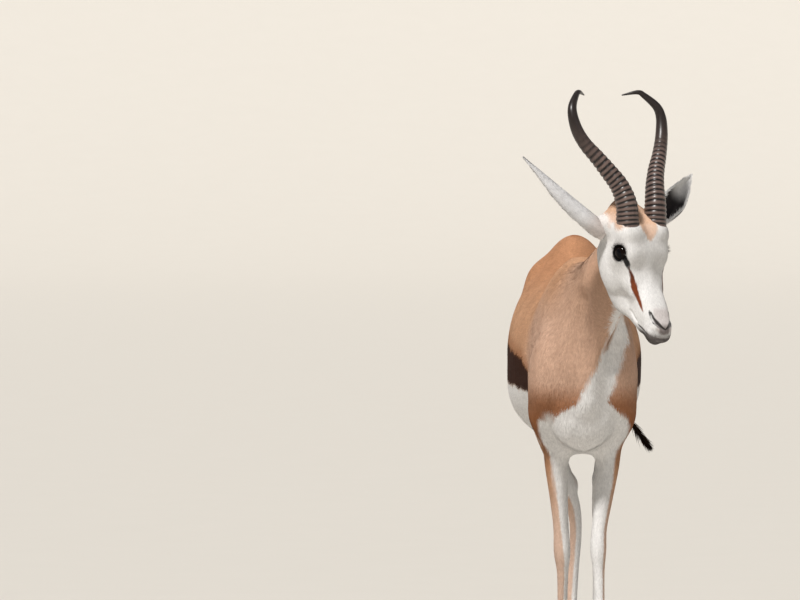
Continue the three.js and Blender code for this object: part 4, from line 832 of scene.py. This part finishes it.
# ---------------------------------------------------------------- horns
RING_GAP = [7.2, 12.0]
RING_END = 0.64
RING_HEIGHT = 2.3
def horn(s):
    S = catmull([list(level([s*p[0]+(LEAN[i] if s > 0 else 0), p[1], p[2]]))+[p[3], p[4]] for i, p in enumerate(HORN)], 40)
    step = np.linalg.norm(np.diff(S[:, :3], axis=0), axis=1)
    L = np.concatenate([[0], np.cumsum(step)]); total = L[-1]
    d = np.concatenate([np.arange(-3, RING_END*total, 0.95), np.linspace(RING_END*total, total, 70)])
    A = np.stack([np.interp(d, L, S[:, q]) for q in range(5)], 1)
    t0 = unit(S[1, :3]-S[0, :3])
    neg = d < 0
    A[neg, :3] = S[0, :3]+t0*d[neg][:, None]
    T = unit(np.gradient(A[:, :3], axis=0))
    wide = unit(ACROSS[None]-T*(T@ACROSS)[:, None])
    dep = np.cross(T, wide)
    # where each ring stands
    edges = [-4.0]
    while edges[-1] < total*RING_END:
        edges.append(edges[-1]+np.interp(max(edges[-1], 0)/total, [0, RING_END], RING_GAP))
    edges = np.array(edges)
    around = 40
    g = np.arange(around)/around*2*math.pi
    rows, cols = [], []
    r = np.random.default_rng(5+s)
    wob = r.uniform(-1, 1, (len(edges)+1, 3))
    for i, dd in enumerate(d):
        fade = float(smooth(np.array([dd/total]), RING_END, RING_END-0.24)[0])
        shift = 0.9*np.sin(g+0.7)+0.5*np.sin(2*g+1.1)
        local = dd+shift*fade
        k = np.clip(np.searchsorted(edges, local, side="right")-1, 0, len(edges)-2)
        ph = np.clip((local-edges[k])/(edges[k+1]-edges[k]), 0, 1)
        prof = np.sin(np.pi*ph**0.8)**0.75
        groove_shade = 1-smooth(np.minimum(ph, 1-ph), 0.0, 0.20)
        amp = RING_HEIGHT*fade*(0.75+0.25*np.cos(g-1.57))*(1+0.18*wob[k, 0])
        lift = amp*(prof-0.62)
        rows.append(A[i, :3]+wide[i]*(np.cos(g)*(A[i, 3]+lift))[:, None]+dep[i]*(np.sin(g)*(A[i, 4]+lift))[:, None])
        tone = np.array([0.115, 0.078, 0.066])*(1-0.80*smooth(np.array([dd/total]), 0.42, 0.74)[0])
        # ring crests painted lighter as painted highlight and the grooves between rings painted darker as painted
        # shade, both fading out with the rings
        crest_highlight = smooth(prof, 0.45, 0.98)[:, None]
        c = tone[None]*(0.10+1.20*np.maximum(crest_highlight, 0)**1.5*fade+0.70*(1-fade))
        c = c*(1-0.7*fade*groove_shade[:, None])
        cols.append(c)
    rows = np.array(rows); n = len(rows)
    P = rows.reshape(-1, 3); C = np.array(cols).reshape(-1, 3)
    tipv = A[-1, :3]+T[-1]*1.0
    P = np.concatenate([P, [A[0, :3]], [tipv]]); C = np.concatenate([C, C[:1], C[-1:]])
    j = np.arange(around)
    caps = np.concatenate([np.stack([np.full(around, len(P)-2), (j+1)%around, j], 1), np.stack([np.full(around, len(P)-1), (n-1)*around+j, (n-1)*around+(j+1)%around], 1)])
    return fix_outward(make_mesh("horn_skin_"+("right" if s < 0 else "left"), P, [tube_faces(n, around), caps], True, C, horn_mat))
for s in SIDES:
    made["horn_"+("right" if s < 0 else "left")] = horn(s)

# ---------------------------------------------------------------- hooves
def claw(fx, fy, c):
    # Section levels from the sole: [height, reach in front, reach behind, half-width]
    table = [[0, 36.0, 21.6, 8.2], [1.2, 36.8, 22.4, 8.7], [5, 35.4, 22.8, 9.0], [12, 31.6, 22.8, 9.0], [20, 27.0, 22.4, 8.9], [28, 22.0, 21.8, 8.6], [36, 17, 21.2, 8.2], [44, 12.5, 20.4, 7.8]]
    T = catmull(table, 5)
    around = 40
    g = (np.arange(around)+0.5)/around*2*math.pi
    cx, cy = np.cos(g), np.sin(g)
    rows, cols = [], []
    for z, front, back, w in T:
        point = np.where(cy < 0, 1-0.55*np.abs(cy)**2.2, 1)
        x = fx+c*9.6+cx*w*point-c*np.where(cy < 0, 1.5*cy*cy, 0)
        y = fy+np.where(cy < 0, cy*front, cy*back)
        # keep to this claw's side of the cleft
        x = fx+c*np.maximum(c*(x-fx), 0.35)
        zz = np.full(around, z)
        top = HOOF_TOP-CORONET_SLOPE*(y-fy)-0.35
        zz = np.minimum(zz, top)
        rows.append(np.stack([x, y, zz], 1))
        cols.append(np.array([0.040, 0.032, 0.028])[None]*(0.8+0.5*((z*0.55)%1 > 0.5))*np.ones((around, 1)))
    P = np.array(rows); n = len(P)
    P = P.reshape(-1, 3); C = np.array(cols).reshape(-1, 3)
    low = P[:around].mean(0); high = P[-around:].mean(0)
    P = np.concatenate([P, [low], [high]]); C = np.concatenate([C, C[:1], C[-1:]])
    j = np.arange(around)
    caps = np.concatenate([np.stack([np.full(around, len(P)-2), (j+1)%around, j], 1), np.stack([np.full(around, len(P)-1), (n-1)*around+j, (n-1)*around+(j+1)%around], 1)])
    return P, [tube_faces(n, around), caps], C
for name, fx, fy in FEET:
    s = 1 if name.endswith("left") else -1
    for c in (-1, 1):
        P, faces, C = claw(fx, fy, c)
        node = "hoof_"+name+"_"+("outer" if s*c > 0 else "inner")
        made[node] = fix_outward(make_mesh(node+"_claw", P, faces, True, C, hoof_mat))

# ---------------------------------------------------------------- coat
def lie(P, N):
    # The way the hair lies at each place
    X, Y, Z = P[:, 0], P[:, 1], P[:, 2]
    l, f, u = head_place(P)
    side = np.where(X > -2, 1.0, -1.0)
    D = np.tile(np.array([0.0, 1.0, -0.35]), (len(P), 1))
    def mix(vec, m):
        nonlocal D
        D = D*(1-m[:, None])+unit(np.array(vec, float))*m[:, None]
    mix([0, 0.75, -0.75], smooth(Y, -150, -230)*smooth(Z, 760, 680))
    mix([0, 0.35, -0.95], smooth(Y, 215, 300)*smooth(Z, 770, 690))
    mix([-0.12, 0.55, -0.85], smooth(-Y, 250, 320)*smooth(Z, 560, 640))
    mix([0, 0.15, -1.0], smooth(Z, 520, 440))
    on_head = smooth(-Y, 395, 420)*smooth(Z, 610, 640)
    back = -AXES[1]*1.0
    m = on_head
    D = D*(1-m[:, None])+(back[None]-AXES[2][None]*(0.35*smooth(u, 0, -30))[:, None])*m[:, None]
    tail = tail_mask(P)
    T = np.array(TAIL, float)
    dirs = unit(T[1:, :3]-T[:-1, :3]); mid = (T[1:, :3]+T[:-1, :3])/2
    if tail.any():
        i = np.nonzero(tail > 0.3)[0]
        if len(i):
            k = np.argmin(np.linalg.norm(P[i][:, None]-mid[None], axis=2), 1)
            D[i] = dirs[k]
    D = D-N*(D*N).sum(1, keepdims=True)
    return unit(D)

def scatter(V, tris, density, rng):
    a, b, c = V[tris[:, 0]], V[tris[:, 1]], V[tris[:, 2]]
    area = np.linalg.norm(np.cross(b-a, c-a), axis=1)/2
    want = area*density((a+b+c)/3)
    n = np.floor(want+rng.random(len(want))).astype(int)
    i = np.repeat(np.arange(len(tris)), n)
    r1, r2 = np.sqrt(rng.random(len(i))), rng.random(len(i))
    w = np.stack([1-r1, r1*(1-r2), r1*r2], 1)
    return (V[tris[i]]*w[:, :, None]).sum(1)

def body_zone(P):
    # 0 body, 1 head, 2 lower leg, 3 tail, as shares
    l, f, u = head_place(P)
    head = smooth(-P[:, 1], 400, 430)*smooth(P[:, 2], 610, 650)*smooth(f, -85, -60)
    leg = smooth(P[:, 2], 430, 330)
    tail = tail_mask(P)
    return head, leg, tail

def coat_density(P):
    head, leg, tail = body_zone(P)
    l, f, u = head_place(P)
    d = 1/3.5+head*(1/1.9-1/3.5)+leg*(1/2.9-1/3.5)+tail*(1/3.5-1/3.5)
    d = d*np.where(near_eye(P, 14), 0, 1)
    bare = smooth(f, 110, 116)*smooth(u, 2, 6)*smooth(np.abs(l), 18, 14)*(P[:, 1] < -500)
    d = d*(1-bare)
    d = d*(P[:, 2] > 36)
    return d

def blades(P, N, D, length, width, lift, colour, rng, follow=True):
    """Thin tapering tufts: root, middle and tip, lying along D and lifting to the coat's depth."""
    n = len(P)
    turn = rng.normal(0, 0.12, n)+0.14*ripple(P, 60, 11)
    S = np.cross(N, D)
    D = unit(D*np.cos(turn)[:, None]+S*np.sin(turn)[:, None])
    S = np.cross(N, D)
    length = length*rng.uniform(0.75, 1.25, n)
    width = width*rng.uniform(0.75, 1.25, n)
    lift = lift*rng.uniform(0.55, 1.0, n)
    M = P+D*(length*0.5)[:, None]
    T = P+D*length[:, None]
    if follow:
        dm = field_points(M); dt = field_points(T)
        M = M-N*np.clip(dm-lift*0.75, -4, 6)[:, None]
        T = T-N*np.clip(dt-lift*0.80, -7, 9)[:, None]
    else:
        M = M+N*(lift*0.8)[:, None]; T = T+N*(lift*0.9)[:, None]
    R = P-N*0.5
    roll = rng.normal(0, 0.13, n)[:, None]
    W = unit(S+N*roll)
    VV = np.stack([R-S*(width*0.32)[:, None], R+S*(width*0.32)[:, None], M-W*(width*0.5)[:, None], M+W*(width*0.5)[:, None], T], 1)
    base = (np.arange(n)*5)[:, None]
    tri = np.concatenate([base+np.array([[0, 3, 1]]), base+np.array([[0, 2, 3]]), base+np.array([[2, 4, 3]])], 0)
    tone = rng.normal(1.0, 0.06, n)
    c = colour*tone[:, None]
    CC = np.stack([c*0.94, c*0.94, c*1.0, c*1.0, c*1.06], 1)
    fn = unit(np.cross(VV[:, 2]-VV[:, 0], VV[:, 3]-VV[:, 0]))
    fn = np.where((fn*N).sum(1, keepdims=True) < 0, -fn, fn)
    NN = unit(N*0.86+fn*0.14)
    return VV.reshape(-1, 3), tri, np.clip(CC, 0.003, 0.92).reshape(-1, 3), np.repeat(NN, 5, axis=0)

PATCH = 0.003
def bake_map(ob, roots, uv):
    # Each tuft is one small patch at its root's place on the unwrapped skin
    uv = np.repeat(uv, 5, axis=0)
    off = np.tile(np.array([[-0.35, -0.5], [0.35, -0.5], [-0.5, 0.0], [0.5, 0.0], [0.0, 0.5]])*PATCH, (len(roots), 1))
    at = np.clip(uv+off, 0, 1).astype(np.float32)
    loops = np.empty(len(ob.data.loops), np.int32)
    ob.data.loops.foreach_get("vertex_index", loops)
    layer = ob.data.uv_layers.new(name="OFBake")
    layer.data.foreach_set("uv", at[loops].ravel())

def unwrap(P, centre, a, b, along_):
    # Turn round an axis and run along it, both spread over the map
    q = P-centre
    turn = np.arctan2(q@b, q@a)/(2*math.pi)+0.5
    run = q@along_
    run = (run-run.min())/max(run.max()-run.min(), 1e-6)
    return np.stack([0.004+0.992*turn, 0.004+0.992*run], 1)

coats = []
def add_coat(name, P, N, D, length, width, lift, colour, uv, follow=True):
    VV, tri, CC, NN = blades(P, N, D, length, width, lift, colour, RNG, follow)
    ob = make_mesh(name, VV, tri, True, CC, coat_mat)
    bake_map(ob, P, uv)
    ob.data.normals_split_custom_set_from_vertices(NN.astype(np.float32))
    coats.append(ob)
    return ob

tris = np.concatenate([Q4[:, [0, 1, 2]], Q4[:, [0, 2, 3]], Q3])
roots = scatter(V, tris, coat_density, RNG)
def not_in_socket(P):
    keep = np.ones(len(P), bool)
    for s in SIDES:
        over, ring = lid_gap(P, s)
        keep &= ~(ring&(over < 1.7))
    return keep
roots = roots[not_in_socket(roots)]
rootN = gradient(roots, 0.8)
rootD = lie(roots, rootN)
rootC = paint(roots, rootN)
head, leg, tail = body_zone(roots)
l, f, u = head_place(roots)
neckish = smooth(-roots[:, 1], 260, 330)*smooth(roots[:, 2], 560, 620)
length = 13.5+3.0*neckish
length = length+head*(6.2-length); length = length-head*2.2*smooth(f, 70, 120); length = length+leg*(7.5-length); length = length+tail*(12-length)
width = 0.98+head*(0.70-0.98)+leg*(0.80-0.98)*(1-head); width = width-head*0.2*smooth(f, 70, 120)
depth = coat_depth(roots[:, 0], roots[:, 1], roots[:, 2])
lift = depth*0.42
lift = lift*(1-0.45*head*smooth(f, 60, 110))

on_head = head > 0.5
fronts = ~on_head&(roots[:, 2] < 455)&(roots[:, 1] < 60)
hinds = ~on_head&(roots[:, 2] < 520)&(roots[:, 1] >= 175)&~((roots[:, 1] < 235)&(roots[:, 2] > 480))
on_tail = tail > 0.5
body = ~on_head&~fronts&~hinds&~on_tail
neck_part = body&(roots[:, 1] < -290)
groups = {
    "coat_head": on_head, "coat_neck": neck_part, "coat_shoulders": body&~neck_part&(roots[:, 1] < -130),
    "coat_barrel": body&(roots[:, 1] >= -130)&(roots[:, 1] < 70), "coat_loins": body&(roots[:, 1] >= 70)&(roots[:, 1] < 250),
    "coat_rump": body&(roots[:, 1] >= 250), "coat_forelegs": fronts, "coat_hindlegs": hinds&~on_tail, "coat_tail": on_tail&~on_head}
X3, Y3, Z3 = np.eye(3)
for name, m in groups.items():
    P = roots[m]
    if not len(P): continue
    if name == "coat_head": uv = unwrap(P, np.array(H(0, 0, -18)), AXES[0], AXES[2], AXES[1])
    elif name == "coat_neck":
        t = unit(np.array([76, -290, 230.0])); a = unit(X3-t*(X3@t))
        uv = unwrap(P, np.array([8, -290, 670.0]), a, np.cross(t, a), t)
    elif name in ("coat_forelegs", "coat_hindlegs"):
        left = P[:, 0] > (5 if name == "coat_forelegs" else 22)
        uv = np.zeros((len(P), 2))
        prim = {False: "right", True: "left"}
        for is_left in (False, True):
            i = np.nonzero(left == is_left)[0]
            pr = [p for p in PRIMS if p["name"] == ("foreleg_" if name == "coat_forelegs" else "hindleg_")+prim[is_left]][0]
            path = np.array([sg[0] for sg in pr["segs"]])
            o = np.argsort(path[:, 2])
            q = P[i]-np.stack([np.interp(P[i][:, 2], path[o, 2], path[o, 0]), np.interp(P[i][:, 2], path[o, 2], path[o, 1]), P[i][:, 2]*0], 1)
            turn = np.arctan2(q[:, 1], q[:, 0])/(2*math.pi)+0.5
            uv[i] = np.stack([0.002+0.496*turn+(0.5 if is_left else 0), 0.004+0.992*(P[i][:, 2]-30)/510], 1)
        uv = np.clip(uv, 0, 1)
    elif name == "coat_tail":
        uv = unwrap(P, np.array([40, 455, 640.0]), X3, Y3, -Z3)
    else: uv = unwrap(P, np.array([-2, 0, 640.0]), X3, Z3, Y3)
    add_coat(name, P, rootN[m], rootD[m], length[m], width[m], lift[m], rootC[m], uv)

# Ears: short hair outside, a pale fringe along both rims
def ear_coat(s):
    R, run, open_, T, col = ears[s]
    n, m = R.shape[0], R.shape[1]; half = m//2
    rng = RNG
    P, N, D, C, Ln, Wd, Lf, UV = [], [], [], [], [], [], [], []
    cnt = 6500
    i = rng.random(cnt)*(n-3)+1; j = rng.random(cnt)*(half-1)
    def surf(i, j):
        i0 = i.astype(int); j0 = j.astype(int); a = (i-i0)[:, None]; b = (j-j0)[:, None]
        return R[i0, j0]*(1-a)*(1-b)+R[i0+1, j0]*a*(1-b)+R[i0, j0+1]*(1-a)*b+R[i0+1, j0+1]*a*b
    p = surf(i, j); pi = surf(np.minimum(i+0.5, n-1.01), j); pj = surf(i, np.minimum(j+0.5, half-1.01)); pj0 = surf(i, np.maximum(j-0.5, 0))
    t = unit(pi-p+1e-6); nn = unit(np.cross(pj-pj0, t))
    c0 = R[:, :half].mean(1); away = p-c0[i.astype(int)]
    nn = np.where((nn*(-open_[i.astype(int)])).sum(1, keepdims=True)+0.6*(nn*away).sum(1, keepdims=True) < 0, -nn, nn)
    P.append(p); N.append(nn); D.append(t); C.append(col[i.astype(int), j.astype(int)]); Ln.append(np.full(cnt, 6.0)); Wd.append(np.full(cnt, 0.8)); Lf.append(np.full(cnt, 0.9)); UV.append(np.stack([i/n*0.49, j/half*0.9+0.02], 1))
    # fringe, longest at the base and middle
    cnt = 1500
    i = rng.random(cnt)*(n*0.92)+n*0.05; e = rng.integers(0, 2, cnt)
    i0 = i.astype(int)
    jj = np.where(e == 0, half, m-1)
    p = R[i0, jj]*(1-(i-i0)[:, None])+R[np.minimum(i0+1, n-1), jj]*(i-i0)[:, None]
    inward = unit(R[i0].mean(1)-p)
    t = T[i0]
    d = unit(t*0.80+inward*0.55*rng.random((cnt, 1))+open_[i0]*0.10)
    nn = unit(np.cross(d, np.cross(open_[i0], d)))
    P.append(p); N.append(nn); D.append(d); C.append(np.tile(np.array(WHITE), (cnt, 1))); Ln.append(rng.uniform(7, 14, cnt)*np.interp(i/n, [0, 0.6, 1], [1, 0.9, 0.45])); Wd.append(np.full(cnt, 0.6)); Lf.append(np.full(cnt, 0.5)); UV.append(np.stack([i/n*0.49, np.where(e == 0, 0.95, 0.985)], 1))
    return [np.concatenate(a) for a in (P, N, D, Ln, Wd, Lf, C, UV)]
parts = [ear_coat(-1), ear_coat(1)]
parts[1][7] = parts[1][7]+np.array([[0.5, 0.0]])
P, N, D, Ln, Wd, Lf, C, UV = [np.concatenate([a, b]) for a, b in zip(*parts)]
add_coat("coat_ears", P, N, D, Ln, Wd, Lf, C, UV, follow=False)

# Tail tuft: black locks that hang on past the end of the tail
def tuft():
    rng = RNG
    T = catmull([p[:5] for p in TAIL], 10)
    C0, R0 = T[:, :3], T[:, 3]
    t = unit(np.gradient(C0, axis=0))
    k0 = int(len(T)*0.66)
    cnt = 1300
    i = rng.integers(k0, len(T)-6, cnt)
    a = rng.random(cnt)*2*math.pi
    s = unit(np.cross(t[i], np.array([0.0, 1, 0]))); o = np.cross(t[i], s)
    nn = s*np.cos(a)[:, None]+o*np.sin(a)[:, None]
    rr = np.minimum(R0[i], 3.2)*rng.random(cnt)**0.5
    p = C0[i]+nn*rr[:, None]
    left = np.linalg.norm(C0[-1]-C0[i], axis=1)
    Ln = np.minimum(rng.uniform(18, 44, cnt), left*rng.uniform(0.85, 1.04, cnt))
    aim = C0[np.minimum(i+12, len(T)-1)]-p
    d = unit(aim+nn*rng.uniform(-1.5, 0.8, cnt)[:, None])
    nn = unit(nn-d*(nn*d).sum(1, keepdims=True))
    C = np.tile(np.array([0.026, 0.016, 0.011]), (cnt, 1))
    UV = np.stack([(i-k0)/(len(T)-k0)*0.98+0.01, a/(2*math.pi)*0.98+0.01], 1)
    return p, nn, d, Ln, np.full(cnt, 1.3), np.full(cnt, 0.6), C, UV
P, N, D, Ln, Wd, Lf, C, UV = tuft()
add_coat("coat_tail_tuft", P, N, D, Ln, Wd, Lf, C, UV, follow=False)

# Lashes
def lashes():
    rng = RNG
    P, N, D, Ln = [], [], [], []
    for s in SIDES:
        c = np.array(on_eye(s, 0, 0, 0)); n = unit(np.array(on_eye(s, 1, 0, 0))-c)
        for turn, lo, hi in [(t, 5.5, 9.0) for t in np.linspace(66, 222, 110)]+[(t, 3, 5) for t in np.linspace(268, 378, 50)]:
            turn = turn+rng.normal(0, 1.0)
            p = np.array(on_eye(s, 20.4, lid_angle(turn)-1, turn))
            out = unit(p-c)
            up = unit(np.array(on_eye(s, 20.4, lid_angle(turn)+20, turn))-p)
            P.append(p); D.append(unit(n*0.95+up*0.42+rng.normal(0, 0.10, 3))); N.append(out); Ln.append(rng.uniform(lo, hi))
    P, N, D, Ln = map(np.array, (P, N, D, Ln))
    N = unit(np.cross(D, np.cross(N, D)))
    return P, N, D, Ln
P, N, D, Ln = lashes()
q = np.stack([np.linspace(0.01, 0.99, len(P)), np.full(len(P), 0.5)], 1)
add_coat("lashes", P, N, D, Ln, np.full(len(P), 0.42), np.full(len(P), 0.3), np.tile(np.array([0.01, 0.008, 0.007]), (len(P), 1)), q, follow=False)

# ---------------------------------------------------------------- what stands for what
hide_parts("trunk", "neck", "head", "tail", "ear_right", "ear_left",
            "foreleg_left_upper", "foreleg_left_lower", "foreleg_right_upper", "foreleg_right_lower",
            "hindleg_left_upper", "hindleg_left_lower", "hindleg_right_upper", "hindleg_right_lower")
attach(skin, "root")
for ob in coats:
    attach(ob, "root")
for node, ob in made.items():
    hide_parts(node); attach(ob, "root")

# ---------------------------------------------------------------- floor, light, camera
def backdrop(flat, bend, stop, around):
    # A level disc whose rim sweeps up all round
    ring = [(0.15*flat, 0.0), (0.5*flat, 0.0), (flat, 0.0)]
    ring += [(flat+bend*sind(a), bend*(1-cosd(a))) for a in np.linspace(4, stop, 18)]
    g = np.arange(around)/around*2*math.pi
    P = np.concatenate([[[0.0, 0.0, 0.0]]]+[np.stack([r*np.cos(g), r*np.sin(g), np.full(around, z)], 1) for r, z in ring])
    j = np.arange(around)
    me = bpy.data.meshes.new("floor")
    me.from_pydata(P.tolist(), [], np.stack([np.zeros(around, int), 1+j, 1+(j+1)%around], 1).tolist()+tube_faces(len(ring), around, first=1)[:, ::-1].tolist())
    me.polygons.foreach_set("use_smooth", np.ones(len(me.polygons), bool))
    ob = bpy.data.objects.new("floor", me)
    bpy.context.collection.objects.link(ob)
    return ob
floor = backdrop(40, 26, 76, 96)
fm, ft, fb = new_material("floor", 0.9, 0.2)
n = noise_node(ft, 6, 3)
rgb = ft.nodes.new("ShaderNodeMix"); rgb.data_type = "RGBA"
rgb.inputs[6].default_value = (0.618, 0.583, 0.528, 1); rgb.inputs[7].default_value = (0.632, 0.597, 0.542, 1)
ft.links.new(n.outputs["Fac"], rgb.inputs[0]); ft.links.new(rgb.outputs[2], fb.inputs["Base Color"])
floor.data.materials.append(fm)

world = bpy.data.worlds.new("World")
bpy.context.scene.world = world
world.use_nodes = True
bg = world.node_tree.nodes["Background"]
bg.inputs["Color"].default_value = (0.83, 0.85, 0.88, 1)
bg.inputs["Strength"].default_value = 0.31

def area(name, at, aim, power, size, colour):
    d = bpy.data.lights.new(name, "AREA")
    d.energy = power; d.size = size; d.color = colour
    o = bpy.data.objects.new(name, d)
    bpy.context.collection.objects.link(o)
    o.location = at
    o.rotation_euler = (Vector(aim)-Vector(at)).to_track_quat("-Z", "Y").to_euler()
    return o
sun = bpy.data.lights.new("key", "SUN")
sun.energy = 3.65; sun.angle = math.radians(8); sun.color = (1.0, 0.982, 0.958)
key = bpy.data.objects.new("key", sun)
bpy.context.collection.objects.link(key)
key.location = (-2, -2, 4)
key.rotation_euler = Vector((0.32, 0.48, -0.815)).to_track_quat("-Z", "Y").to_euler()
area("fill", (3.2, -4.0, 2.2), (0, -0.1, 0.6), 12, 3.0, (0.92, 0.96, 1.0))

cam = bpy.data.cameras.new("camera")
cam.sensor_width = 36
cam.lens = 7700/800*36
cam.clip_end = 200
camera = bpy.data.objects.new("camera", cam)
bpy.context.collection.objects.link(camera)
camera.location = (-0.333+SHIFT[0]/1000, -14.3+SHIFT[1]/1000, 1.016)
camera.rotation_euler = (math.radians(90-1.19), 0, 0)
scene = bpy.context.scene
scene.camera = camera
scene.view_settings.view_transform = "Standard"
